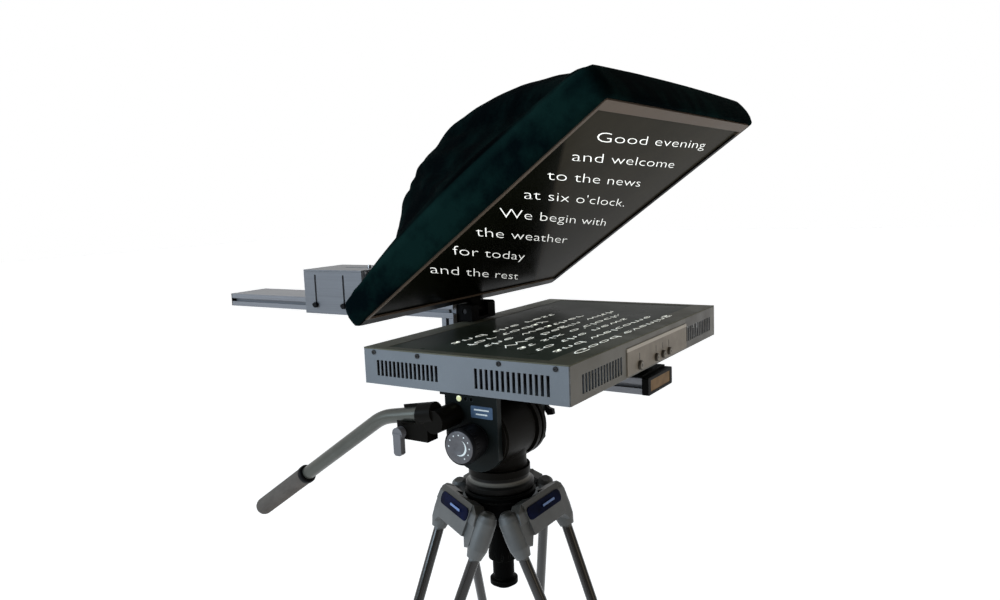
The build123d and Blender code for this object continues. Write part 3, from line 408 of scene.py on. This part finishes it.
SLOTS = {
    "monitor_sheet": painted("monitor_sheet", (0.103, 0.116, 0.131), 0.40, wear=(0.26, 0.27, 0.29),
                             peel=1200.0, shine=0.3, tone=front_painted_shade),
    "bezel_black": bezel_black(),
    "screen_black": screen_black(),
    "panel_black": moulded("panel_black", (0.006, 0.006, 0.006)),
    "board_green": board_green(),
    "control_grey": control_grey(),
    # the buttons' sides are set dark as painted shade; button_faces gives their caps the lit colour
    "button_grey": moulded("button_grey", (0.050, 0.043, 0.034), 0.42),
    "socket_black": moulded("socket_black", (0.010, 0.010, 0.011), 0.4),
    "screw_black": painted("screw_black", (0.006, 0.006, 0.007), 0.36, 0.2, wear=(0.10, 0.10, 0.10)),
    "rail_grey": brushed("rail_grey", (0.155, 0.158, 0.172), 0.40, (6.0, 1100.0, 1100.0), 0.30,
                         wear=(0.42, 0.42, 0.44)),
    "cap_black": moulded("cap_black", (0.0016, 0.0015, 0.0016), 0.42, shine=0.03),
    # near-black brackets; the flat bracket on the rail's top under the monitor is a part that also stands for
    # the monitor's shadow there, as painted shade
    "bracket_black": painted("bracket_black", (0.0018, 0.0018, 0.0018), 0.5, wear=(0.03, 0.03, 0.03),
                             shine=0.03),
    "frame_grey": frame_grey(),
    "mirror_glass": mirror_glass(),
    "hood_cloth": hood_cloth(),
    "spring_steel": brushed("spring_steel", (0.42, 0.42, 0.43), 0.3, (40.0, 40.0, 40.0)),
    "riser_grey": brushed("riser_grey", (0.120, 0.124, 0.136), 0.42, (6.0, 900.0, 900.0), 0.25,
                          wear=(0.36, 0.36, 0.38)),
    "knob_black": moulded("knob_black", (0.0035, 0.0035, 0.0042), 0.40, shine=0.05),
    "steel": brushed("steel", (0.50, 0.50, 0.51), 0.28, (500.0, 30.0, 500.0), 1.0),
    "head_grey": painted("head_grey", (0.0055, 0.0075, 0.0075), 0.40, wear=(0.07, 0.085, 0.085),
                         peel=700.0, peel_depth=0.0001, shine=0.06),
    "head_black": painted("head_black", (0.0042, 0.0037, 0.0030), 0.38, wear=(0.05, 0.046, 0.040),
                          peel=700.0, peel_depth=0.0001, shine=0.03),
    "vial": vial(),
    "handle_tube": handle_tube(),
    "grip_foam": foam("grip_foam", (0.074, 0.065, 0.058)),
    "wing_grey": moulded("wing_grey", (0.100, 0.100, 0.108), 0.42, shine=0.25),
    "crown_black": painted("crown_black", (0.0012, 0.0012, 0.0011), 0.44, wear=(0.04, 0.04, 0.035),
                           peel=600.0, peel_depth=0.00012, shine=0.015),
    "leg_black": leg_black(),
    "lower_tube": lower_tube(),
    "rubber": foam("rubber", (0.008, 0.008, 0.009), 500.0, 0.0001, 0.8),
}


def paint(piece, material):
    piece.data.materials.clear()
    piece.data.materials.append(material)


for entry in frame["record"]["subparts"]:
    paint(nodes[entry["node"]], SLOTS[entry["material_slot"]])
paint(nodes["pan_base"], pan_black())


# ---- mesh helpers -------------------------------------------------------------
def add_piece(name, verts, faces, body, slot=None, material=None, smooth=True):
    """New mesh piece, in the part's coordinates at rest, that rides on a body."""
    mesh = bpy.data.meshes.new(name)
    mesh.from_pydata([tuple(v) for v in verts], [], faces)
    mesh.validate()
    mesh.polygons.foreach_set("use_smooth", [smooth] * len(mesh.polygons))
    piece = bpy.data.objects.new(name, mesh)
    bpy.context.scene.collection.objects.link(piece)
    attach(piece, body)
    paint(piece, material or SLOTS[slot])
    return piece


def ring_faces(rings, count, closed=False):
    """Quads between neighbouring rings of points, and from the last to the first when closed."""
    faces = []
    for j in range(rings if closed else rings - 1):
        ahead = (j + 1) % rings
        for i in range(count):
            k = (i + 1) % count
            faces.append((j * count + i, j * count + k, ahead * count + k, ahead * count + i))
    return faces


def around(sides):
    """Angles evenly round a circle."""
    return [2 * math.pi * k / sides for k in range(sides)]


def loop_tube(path, radius, sides=10):
    """Vertices and faces of a round tube along a closed loop of points."""
    verts = []
    up = Vector((0.13, 0.21, 0.97))
    for i, p in enumerate(path):
        along = (path[(i + 1) % len(path)] - path[i - 1]).normalized()
        side = along.cross(up).normalized()
        other = side.cross(along)
        verts += [p + radius * (math.cos(a) * side + math.sin(a) * other) for a in around(sides)]
    return verts, ring_faces(len(path), sides, closed=True)


def turned(centre, axis, side, other, profile, sides):
    """Surface turned round an axis from (radius, height) pairs."""
    verts = [centre + axis * height + (side * math.cos(a) + other * math.sin(a)) * radius
             for radius, height in profile for a in around(sides)]
    return verts, ring_faces(len(profile), sides)


def slab(centre, x_dir, y_dir, width, height, depth, corner=0.0, steps=4):
    """Rounded rectangular plate; its face looks along x_dir x y_dir."""
    out = x_dir.cross(y_dir).normalized()
    outline = []
    for cx, cy, start in ((1, 1, 0), (-1, 1, 90), (-1, -1, 180), (1, -1, 270)):
        mid_x, mid_y = cx * (width / 2 - corner), cy * (height / 2 - corner)
        for k in range(steps + 1):
            a = math.radians(start + 90 * k / steps)
            outline.append((mid_x + corner * math.cos(a), mid_y + corner * math.sin(a)))
    n = len(outline)
    chamfer = min(depth * 0.35, 0.0004)
    verts = []
    for lift, inset in ((-depth, 0), (-chamfer, 0), (0, chamfer)):
        sx, sy = 1 - 2 * inset / width, 1 - 2 * inset / height
        verts += [centre + x_dir * (x * sx) + y_dir * (y * sy) + out * lift for x, y in outline]
    faces = [tuple(reversed(range(n))), tuple(range(2 * n, 3 * n))] + ring_faces(3, n)
    return verts, faces


# ---- hood ------------------------------------------------------------------------
SIDE = 48                      # points along each of the hood's four sides
HOOD_OUT = 0.0062              # from the glass frame's edge to the cloth
HOOD_LOW, HOOD_HIGH = -0.0032, FRAME_LEN + HOOD_OUT
RIM_ROWS = ((-0.0056, 0.0042, 0.004), (-0.0022, 0.0016, 0.005), (0.0, 0.0032, 0.007))   # out, depth, corner
BAND_SHARES = (0.25, 0.5, 0.75, 0.9)               # rows from the rim to the ridge
BAND_BULGE, BAND_CORNER = 0.0022, 0.010
RIDGE_ROWS, RIDGE_CORNER = ((0.0004, 0.0), (-0.0050, 0.0012)), 0.013    # out and further back
RIDGE_ROW = len(RIM_ROWS) + len(BAND_SHARES) + len(RIDGE_ROWS) - 1
HUMP_ROWS = 34                                     # from the ridge to the lens opening
OPENING_HALF_WIDTH, OPENING_HALF_HEIGHT, OPENING_CORNER = 0.0740, 0.060, 0.048
OPENING_CENTRE = Vector((-0.0830, 0.0, TOP + 0.1910))
OPENING_UP = Vector((0.50, 0.0, 0.866))
OPENING_TAPER, OPENING_SQUASH = 0.30, 0.17         # of its lower half
FOLD, CREASE, LUMP = 0.0075, 0.0042, 0.0036        # heights of broad, sharp and small creases
VALLEY, NOTCH = 0.0090, 0.015                      # depths of the groove behind the ridge and the near notch
PLEAT_COUNT, PLEAT_HEIGHT, PLEAT_START = 30, 0.0011, 0.72
HEEL_START, HEEL_FADE, HEEL_HALF = -0.0400, 0.0030, 0.045       # where the cloth nears the camera rail
HEEL_CLEAR, HEEL_STEP = 0.0292, 0.0046             # heights over the monitor's top
HEEL_RISE, HEEL_FALL = 0.115, 0.5                  # slopes backwards and outwards
CLOTH_THICK, HEM_RADIUS = 0.0016, 0.0034


def on_glass(u, v, d):
    return FOOT + U * u + V * v + D * d


def perimeter(count):
    """Points round the square from -1 to 1, the same number along each side."""
    steps = [2 * i / count - 1 for i in range(count)]
    bottom = [(t, -1.0) for t in steps]
    right = [(1.0, t) for t in steps]
    top = [(-t, 1.0) for t in steps]
    left = [(-1.0, -t) for t in steps]
    return bottom + right + top + left


def rounded(a, b, half_w, half_h, radius):
    """Point of a rounded rectangle for a point of the square."""
    x, y = a * half_w, b * half_h
    ix = max(-half_w + radius, min(half_w - radius, x))
    iy = max(-half_h + radius, min(half_h - radius, y))
    out = Vector((x - ix, y - iy))
    if out.length < 1e-9:
        return x, y
    out = out.normalized() * radius
    return ix + out.x, iy + out.y


def rim_point(a, b, grow, depth, radius):
    """Point of the hood's band round the glass frame, in slope, side and depth terms."""
    half_u = (HOOD_HIGH - HOOD_LOW) / 2 + grow
    half_v = FRAME_HALF + HOOD_OUT + grow
    v, u = rounded(a, b, half_v, half_u, radius)
    return Vector((u + (HOOD_HIGH + HOOD_LOW) / 2, v, depth))


def ridge_depth(a, b):
    """How far behind the glass front the band's ridge lies: deepest half way up the sides."""
    low_end, top_end = max(0.0, -b) ** 4, max(0.0, b) ** 4 * (1.0 - a * a)
    return 0.0365 + 0.0105 * math.cos(1.35 * (b - 0.05)) ** 2 - 0.006 * low_end + 0.005 * top_end


def opening_point(a, b):
    """Point of the lens opening, in slope, side and depth terms."""
    v, h = rounded(a, b, OPENING_HALF_WIDTH, OPENING_HALF_HEIGHT, OPENING_CORNER)
    low_half = max(0.0, -b)
    v *= 1.0 - OPENING_TAPER * low_half ** 1.5
    h *= 1.0 - OPENING_SQUASH * low_half
    rel = OPENING_CENTRE + OPENING_UP * h - FOOT
    return Vector((rel.dot(U), v, rel.dot(D)))


def bezier(p, q, r, s, t):
    w = 1 - t
    return p * w ** 3 + q * (3 * w * w * t) + r * (3 * w * t * t) + s * t ** 3


def hood_rows():
    """Rings of points from the glass frame's edge back to the lens opening."""
    square = perimeter(SIDE)
    rows = [[rim_point(a, b, *row) for a, b in square] for row in RIM_ROWS]
    for share in BAND_SHARES:
        bulge = BAND_BULGE * math.sin(math.pi * share)
        rows.append([rim_point(a, b, bulge, share * ridge_depth(a, b), BAND_CORNER) for a, b in square])
    for out, back in RIDGE_ROWS:
        rows.append([rim_point(a, b, out, ridge_depth(a, b) + back, RIDGE_CORNER) for a, b in square])
    ridge = rows[RIDGE_ROW]
    mouth = [opening_point(a, b) for a, b in square]
    behind = Vector((0, 0, 1))
    for step in range(1, HUMP_ROWS):
        row = []
        for (a, b), r, q in zip(square, ridge, mouth):
            run = Vector((r.x - q.x, r.y - q.y, 0.0))
            flank = abs(a) ** 6
            low_end = max(0.0, -b) ** 2
            first = r - run * (0.10 + 0.27 * flank) + behind * ((0.195 - 0.145 * flank) * run.length)
            second = q + run * 0.27 + behind * ((0.05 - 0.20 * low_end) * run.length)
            row.append(bezier(r, first, second, q, step / HUMP_ROWS))
        rows.append(row)
    rows.append(mouth)
    return rows


def hood_folds(rows):
    """Soft creases from the ridge to the lens opening, a groove, a notch and the hem's pleats."""
    square = perimeter(SIDE)
    first = RIDGE_ROW
    last = len(rows) - 1
    count = len(square)
    for j in range(first + 1, last + 1):
        t = (j - first) / (last - first)
        slack = math.sin(math.pi * min(1.0, t * 1.02)) ** 0.8
        for i in range(count):
            p = rows[j][i]
            before, after = rows[j][i - 1], rows[j][(i + 1) % count]
            ahead = rows[min(j + 1, last)][i] - rows[j - 1][i]
            normal = (after - before).cross(ahead).normalized()
            angle = 2 * math.pi * i / count
            place = Vector((math.cos(angle) * 2.6, math.sin(angle) * 2.6, t * 1.3))
            fold = noise.noise(place + Vector((3.1, 0.4, 7.7)))
            crease = noise.noise(Vector((math.cos(angle) * 6.5, math.sin(angle) * 6.5, t * 2.2)))
            lump = noise.noise(p * 22.0 + Vector((1.7, 9.2, 4.4)))
            gather = math.sin(PLEAT_COUNT * angle + 1.5 * math.sin(3 * angle))
            gather *= max(0.0, t - PLEAT_START) / (1.0 - PLEAT_START)
            a, b = square[i]
            valley = math.exp(-((t - 0.07) / 0.05) ** 2) * (0.3 + 0.7 * a ** 4)
            notch = math.exp(-((b + 0.95) / 0.40) ** 2) * max(0.0, -a) ** 3 * t * t * (1.0 - t) * 4.0
            offset = slack * (FOLD * fold + CREASE * crease + LUMP * lump)
            offset -= VALLEY * valley + NOTCH * notch
            rows[j][i] = p + normal * (offset + PLEAT_HEIGHT * gather)
    return rows


def lifted(point):
    """Keep the cloth's heel off the camera rail and its bolts when the glass leans back."""
    x, y, z = point
    behind = min(max((HEEL_START - x) / HEEL_FADE, 0.0), 1.0)
    slope = HEEL_RISE * max(0.0, HEEL_START - HEEL_FADE - x)
    floor = TOP + HEEL_CLEAR + HEEL_STEP * behind + slope
    return Vector((x, y, max(z, floor - HEEL_FALL * max(0.0, abs(y) - HEEL_HALF))))


def build_hood():
    """The creased cloth in place of the plain solid, with a round hem at its opening."""
    rows = hood_folds(hood_rows())
    verts = [lifted(on_glass(*p)) for row in rows for p in row]
    faces = ring_faces(len(rows), len(rows[0]))
    hood = add_piece("hood_cloth", verts, faces, "glass", "hood_cloth")
    thick = hood.modifiers.new("thickness", "SOLIDIFY")
    thick.thickness, thick.offset = CLOTH_THICK, -1.0
    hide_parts("hood")
    mouth = [on_glass(*p) for p in rows[-1]]
    hem = add_piece("hood_hem", *loop_tube(mouth, HEM_RADIUS), "glass", "hood_cloth")


build_hood()


# ---- displayed words ----------------------------------------------------------------
WORDS = ("Good evening", "and welcome", "to the news", "at six o'clock.", "We begin with",
         "the weather", "for today", "and the rest")
LETTER_THICK = 0.0003
GLASS_FIRST, GLASS_PITCH, GLASS_STRETCH = 0.3614, 0.0330, 0.00043    # up the glass, line by line
GLASS_LEFT, GLASS_DRIFT = -0.166, 0.0063
GLASS_SLANT, GLASS_UPRIGHTING = -1.50, 0.055       # lean of the reflected letters
GLASS_TILT, GLASS_TURN = 0.010, 0.036              # slope of the first line, and its change line by line
GLASS_LETTER_WIDE, GLASS_LETTER_TALL, GLASS_LETTER_GROWTH = 0.0625, 0.0225, 0.0018
GLASS_LIFT, SCREEN_LIFT = 0.0022, 0.0002           # words above their surfaces
SCREEN_FIRST, SCREEN_PITCH, SCREEN_LEFT = 0.226, 0.0245, -0.184
SCREEN_LETTER_WIDE, SCREEN_LETTER_TALL = 0.054, 0.0150


def glowing(name, colour, strength):
    g = Graph(name)
    dim = g.span(g.noise(60.0, 2.0), 0.3, 0.7)
    return g.set(Base_Color=g.mix(dim, shade(colour, 0.9), colour), Roughness=0.5,
                 Specular_IOR_Level=0.1, Emission_Color=colour, Emission_Strength=strength)


def line_of_text(name, words, origin, right, up, width, height, body, material, thinner=0.022):
    """Flat lettering as a thin solid, laid on a plane by its right and up directions."""
    curve = bpy.data.curves.new(name, "FONT")
    curve.body, curve.size, curve.extrude, curve.resolution_u = words, 1.0, 0.5, 3
    curve.offset = -thinner
    holder = bpy.data.objects.new(name, curve)
    bpy.context.scene.collection.objects.link(holder)
    bpy.context.view_layer.update()
    made = holder.evaluated_get(bpy.context.evaluated_depsgraph_get())
    mesh = bpy.data.meshes.new_from_object(made)
    bpy.data.objects.remove(holder)
    bpy.data.curves.remove(curve)
    out = right.cross(up).normalized()
    for vertex in mesh.vertices:
        x, y, z = vertex.co
        vertex.co = origin + right * (x * width) + up * (y * height) + out * (z * LETTER_THICK)
    mesh.name = name
    piece = bpy.data.objects.new(name, mesh)
    bpy.context.scene.collection.objects.link(piece)
    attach(piece, body)
    paint(piece, material)


def displayed_words():
    """The same lines twice: reflected and slanting in the glass, and flat on the screen."""
    lit = glowing("lit_words", (0.93, 0.96, 0.90), 0.55)
    seen = glowing("reflected_words", (0.95, 0.97, 0.94), 0.64)
    for i, words in enumerate(WORDS):
        up_glass = GLASS_FIRST - GLASS_PITCH * i - GLASS_STRETCH * i * i
        start = on_glass(up_glass, GLASS_LEFT - GLASS_DRIFT * i, GLASS_LIFT)
        along = (V + U * (GLASS_TILT - GLASS_TURN * i)).normalized()
        upward = U + V * (GLASS_UPRIGHTING * i + GLASS_SLANT)
        line_of_text(f"glass_words_{i + 1}", words, start, along, upward, GLASS_LETTER_WIDE,
                     GLASS_LETTER_TALL + GLASS_LETTER_GROWTH * i, "glass", seen)
        low = Vector((SCREEN_FIRST - SCREEN_PITCH * i, SCREEN_LEFT, TOP + SCREEN_LIFT))
        line_of_text(f"screen_words_{i + 1}", words, low, V, X, SCREEN_LETTER_WIDE, SCREEN_LETTER_TALL,
                     "prompter", lit, thinner=0.024)


displayed_words()


# ---- small trim ------------------------------------------------------------------------
BADGE_X, BADGE_DROP = 0.0135, 0.125                # head badge's middle
BADGE_SIZE, NOSE_SIZE = (0.038, 0.018, 0.0010, 0.002), (0.070, 0.0180, 0.0009, 0.0015)
TICK_SIZE = (0.0011, 0.0085, 0.0003, 0.0004)       # every size: width, height, depth and corner
BAND_SIZE, MARK_SIZE = (0.094, 0.019, 0.0020, 0.008), (0.034, 0.0034, 0.0006, 0.0015)
BAND_SPOT, MARK_SPOT = Vector((0.0225, 0.0, 0.006)), Vector((0.0247, 0.008, 0.006))     # from the leg's pivot
TICK_DROP = 0.0245                                 # panel ticks, below the monitor's top
DOT_RING, DOT_SIZE, DOT_COUNT = 0.0178, 0.0022, 9
CRESCENT_RING, CRESCENT_THICK, CRESCENT_STEPS = 0.0118, 0.0026, 22
BAR_START = Vector((-0.1397, -0.100, TOP - 0.1386))      # the pan bar's straight sloping stretch
BAR_END = Vector((-0.4348, -0.100, TOP - 0.3379))
GRIP_SHARE = 0.59                                  # how far along that stretch the foam begins
LEG_LEAN = 22.3                                    # degrees from upright
LEG_PIVOT = Vector((0.060, 0.0, TOP - 0.285))


def badge_blue():
    g = Graph("badge_blue")
    cloud = g.span(g.noise(90.0, 4.0), 0.3, 0.7)
    g.bump(g.noise(900.0, 2.0), 0.00004, 0.4)
    return g.set(Base_Color=g.mix(cloud, (0.034, 0.062, 0.110), (0.062, 0.100, 0.160)), Roughness=0.36,
                 Specular_IOR_Level=0.15)


def badge_gold():
    g = Graph("badge_gold")
    cloud = g.span(g.noise(70.0, 4.0), 0.3, 0.7)
    streak = g.noise(1.0, 3.0, at=g.stretch(600.0, 14.0, 600.0))
    g.bump(streak, 0.00004, 0.4)
    return g.set(Base_Color=g.mix(cloud, (0.110, 0.062, 0.024), (0.175, 0.105, 0.044)), Roughness=0.40,
                 Specular_IOR_Level=0.05)


def band_blue():
    g = Graph("band_blue")
    cloud = g.span(g.noise(40.0, 4.0), 0.3, 0.7)
    g.bump(g.noise(1100.0, 2.0), 0.00005, 0.5)
    return g.set(Base_Color=g.mix(cloud, (0.0005, 0.0008, 0.0040), (0.0020, 0.0045, 0.0240)),
                 Roughness=0.30, Specular_IOR_Level=0.015)


def printed(name, colour):
    g = Graph(name)
    fade = g.span(g.noise(400.0, 3.0), 0.3, 0.7)
    return g.set(Base_Color=g.mix(fade, shade(colour, 0.8), colour), Roughness=0.55)


WHITE_INK = printed("white_ink", (0.62, 0.66, 0.66))
DARK_INK = printed("dark_ink", (0.02, 0.019, 0.017))


def head_badge():
    """Blank plate on the head's left cheek with two plain bars."""
    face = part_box("head_platform")[0].y
    centre = Vector((BADGE_X, face - 0.0006, TOP - BADGE_DROP))
    add_piece("head_badge", *slab(centre, X, Z, *BADGE_SIZE), "tilt",
              material=badge_blue(), smooth=False)
    for number, (drop, width) in enumerate(((0.0035, 0.026), (-0.0030, 0.020)), start=1):
        bar = centre + Z * drop - Y * 0.0002
        add_piece(f"head_badge_bar_{number}", *slab(bar, X, Z, width, 0.0022, 0.0004, 0.0008), "tilt",
                  material=WHITE_INK, smooth=False)


def nose_badge():
    """Blank plate on the base rail's nose cap."""
    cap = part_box("rail_nose_cap")
    middle = (cap[0] + cap[1]) / 2
    centre = Vector((cap[1].x - 0.0004, 0.0, middle.z))
    add_piece("nose_badge", *slab(centre, Y, Z, *NOSE_SIZE), "prompter",
              material=badge_gold(), smooth=False)


BUTTONS = {"power_button": "power", "menu_button_1": "menu_1", "menu_button_2": "menu_2",
           "menu_button_3": "menu_3"}


def panel_marks():
    """Tick above each button."""
    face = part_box("control_panel")[1].x
    for number, node in enumerate(BUTTONS, start=1):
        low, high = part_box(node)
        y = (low.y + high.y) / 2
        centre = Vector((face + 0.0002, y, TOP - TICK_DROP))
        add_piece(f"panel_tick_{number}", *slab(centre, Y, Z, *TICK_SIZE), "prompter",
                  material=DARK_INK, smooth=False)


def button_faces():
    """Lighter dished cap on each button's end: the lit colour of the plastic, against the darker colour of
    the sides, which is painted shade.
    """
    pale = moulded("lit_button_cap", (0.150, 0.135, 0.112), 0.35)
    sides = 28
    for node, body in BUTTONS.items():
        low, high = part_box(node)
        centre = Vector((high.x, (low.y + high.y) / 2, (low.z + high.z) / 2))
        radius = (high.y - low.y) / 2 - 0.0012
        profile = ((radius, -0.0002), (radius * 0.94, 0.0003), (radius * 0.7, 0.0001),
                   (radius * 0.35, -0.00005))
        verts, faces = turned(centre, X, Y, Z, profile, sides)
        faces.append(tuple((len(profile) - 1) * sides + k for k in range(sides)))
        faces.append(tuple(reversed(range(sides))))
        add_piece(node + "_cap", verts, faces, body, material=pale)


def knob_face():
    """Grey face of the drag knob with a ring of dots and a pale crescent."""
    low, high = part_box("tilt_drag_knob")
    centre = Vector(((low.x + high.x) / 2, low.y, (low.z + high.z) / 2))
    profile = ((0.0236, 0.0010), (0.0236, -0.0003), (0.0226, -0.0007), (0.0100, -0.0007), (0.0088, -0.0002),
               (0.0, -0.0002))
    face_grey = brushed("knob_face_grey", (0.078, 0.076, 0.082), 0.38, (160.0, 160.0, 160.0), 0.3,
                        wear=(0.3, 0.3, 0.3))
    add_piece("knob_face", *turned(centre, Y, X, Z, profile, 48), "drag_knob", material=face_grey)
    for k in range(DOT_COUNT):
        a = math.radians(-60 + 30 * k)
        spot = centre - Y * 0.0009 + (X * math.cos(a) + Z * math.sin(a)) * DOT_RING
        add_piece(f"knob_dot_{k + 1}", *slab(spot, X, Z, DOT_SIZE, DOT_SIZE, 0.0004, 0.0010), "drag_knob",
                  material=WHITE_INK, smooth=False)
    add_piece("knob_crescent", *crescent_mesh(centre), "drag_knob", material=WHITE_INK, smooth=False)


def crescent_mesh(centre):
    """Thin arc round the knob's face, thickest half way along."""
    steps = CRESCENT_STEPS
    shares = [k / steps for k in range(steps + 1)]
    crescent = [(math.radians(-105 + 165 * share), CRESCENT_THICK * math.sin(math.pi * share) + 0.0003)
                for share in shares]
    verts, faces = [], []
    for lift in (-0.0007, -0.0011):
        for a, thick in crescent:
            for r in (CRESCENT_RING - thick / 2, CRESCENT_RING + thick / 2):
                verts.append(centre + Y * lift + X * (r * math.cos(a)) + Z * (r * math.sin(a)))
    half = 2 * (steps + 1)
    for k in range(steps):
        b = 2 * k
        faces += [(b, b + 1, b + 3, b + 2), (half + b, half + b + 2, half + b + 3, half + b + 1),
                  (b, b + 2, half + b + 2, half + b), (b + 1, half + b + 1, half + b + 3, b + 3)]
    faces += [(0, half, half + 1, 1), (2 * steps, 2 * steps + 1, half + 2 * steps + 1, half + 2 * steps)]
    return verts, faces


def grip_collar():
    """Black ring where the bare tube enters the foam grip."""
    along = (BAR_END - BAR_START).normalized()
    place = BAR_START + (BAR_END - BAR_START) * GRIP_SHARE
    side = along.cross(Y).normalized()
    profile = ((0.0112, -0.0050), (0.0146, -0.0044), (0.0154, -0.0030), (0.0154, 0.0030), (0.0146, 0.0040))
    add_piece("grip_collar", *turned(place, along, side, Y, profile, 40), "handle", "knob_black")


def leg_bands():
    """Dark-blue insert with a plain bar on the outward face of each leg casting; the bar is print and also a
    painted highlight on the glossy band.
    """
    blue = band_blue()
    pale = printed("band_print_and_highlight", (0.10, 0.17, 0.36))
    lean = Matrix.Rotation(-math.radians(LEG_LEAN), 3, "Y")
    for number in (1, 2, 3):
        turn = Matrix.Rotation(math.radians(120 * (number - 1)), 3, "Z")
        across, up = turn @ (lean @ Y), turn @ (lean @ Z)
        middle = turn @ (LEG_PIVOT + lean @ BAND_SPOT)
        band = slab(middle, across, up, *BAND_SIZE, steps=8)
        add_piece(f"leg_{number}_band", *band, f"leg_{number}", material=blue, smooth=False)
        place = turn @ (LEG_PIVOT + lean @ MARK_SPOT)
        mark = slab(place, across, up, *MARK_SIZE)
        add_piece(f"leg_{number}_mark", *mark, f"leg_{number}", material=pale, smooth=False)


for make in (head_badge, nose_badge, panel_marks, button_faces, knob_face, grip_collar, leg_bands):
    make()


# ---- camera, light and floor ----------------------------------------------------------
LENS, SENSOR = 28.8, 36.0                          # in millimetres
CAMERA_PLACE = (0.656, -0.979, TOP + 0.1806)
CAMERA_TURNS = ((33.28, "Z"), (82.71, "X"), (-2.33, "Z"))      # heading, tilt and roll in degrees
MIDDLE = (0.0, 0.0, TOP)                           # what the lights look at
LIGHTS = (("key_left", (-1.4, -2.6, 2.3), (1.6, 1.6), 76.0, (0.66, 0.84, 1.0)),
          ("fill_right", (2.8, -0.2, 1.9), (1.2, 1.6), 7.0, (1.0, 0.84, 0.60)),
          ("top", (-0.4, 0.3, 3.4), (2.2, 2.2), 3.0, (1.0, 0.96, 0.88)))
FLOOR_HALF = 30.0
BRIGHT_WAY, BRIGHT_FROM, BRIGHT_TO = (-0.87, 0.50, -0.35), -0.62, 0.40
DIM_STUDIO, WHITE_STUDIO = (0.27, 0.255, 0.225, 1.0), (1.0, 1.0, 1.0, 1.0)


def add_camera():
    data = bpy.data.cameras.new("camera")
    data.lens, data.sensor_width = LENS, SENSOR
    camera = bpy.data.objects.new("camera", data)
    bpy.context.scene.collection.objects.link(camera)
    placing = Matrix.Translation(CAMERA_PLACE)
    for angle, axis in CAMERA_TURNS:
        placing = placing @ Matrix.Rotation(math.radians(angle), 4, axis)
    camera.matrix_world = placing
    bpy.context.scene.camera = camera


def add_light(name, place, size, power, colour):
    data = bpy.data.lights.new(name, "AREA")
    data.shape, data.size, data.size_y = "RECTANGLE", size[0], size[1]
    data.energy, data.color = power, colour
    light = bpy.data.objects.new(name, data)
    bpy.context.scene.collection.objects.link(light)
    light.location = place
    light.rotation_euler = (Vector(MIDDLE) - Vector(place)).to_track_quat("-Z", "Y").to_euler()


def add_floor():
    mesh = bpy.data.meshes.new("floor")
    corners = [(x * FLOOR_HALF, y * FLOOR_HALF, 0) for x, y in ((-1, -1), (1, -1), (1, 1), (-1, 1))]
    mesh.from_pydata(corners, [], [(0, 1, 2, 3)])
    floor = bpy.data.objects.new("floor", mesh)
    bpy.context.scene.collection.objects.link(floor)
    g = Graph("floor_pale")
    g.set(Base_Color=g.mix(g.noise(0.8, 2.0), (0.93, 0.93, 0.935), (0.95, 0.95, 0.95)), Roughness=0.95,
          Specular_IOR_Level=0.05, Emission_Color=(0.93, 0.96, 1.0), Emission_Strength=0.50)
    paint(floor, g.material)


def add_world():
    """White studio behind the object, dimmer and a little warmer behind the camera."""
    world = bpy.data.worlds.new("studio")
    world.use_nodes = True
    tree = world.node_tree
    place = tree.nodes.new("ShaderNodeTexCoord").outputs["Generated"]
    facing = tree.nodes.new("ShaderNodeVectorMath")
    facing.operation = "DOT_PRODUCT"
    facing.inputs[1].default_value = BRIGHT_WAY
    tree.links.new(place, facing.inputs[0])
    share = tree.nodes.new("ShaderNodeMapRange")
    share.interpolation_type = "SMOOTHSTEP"
    share.inputs["From Min"].default_value = BRIGHT_FROM
    share.inputs["From Max"].default_value = BRIGHT_TO
    tree.links.new(facing.outputs["Value"], share.inputs["Value"])
    tint = tree.nodes.new("ShaderNodeMix")
    tint.data_type = "RGBA"
    tint.inputs[6].default_value = DIM_STUDIO
    tint.inputs[7].default_value = WHITE_STUDIO
    tree.links.new(share.outputs[0], tint.inputs["Factor"])
    tree.links.new(tint.outputs[2], tree.nodes["Background"].inputs["Color"])
    bpy.context.scene.world = world
    bpy.context.scene.view_settings.view_transform = "Standard"


add_camera()
add_floor()
add_world()
for light in LIGHTS:
    add_light(*light)
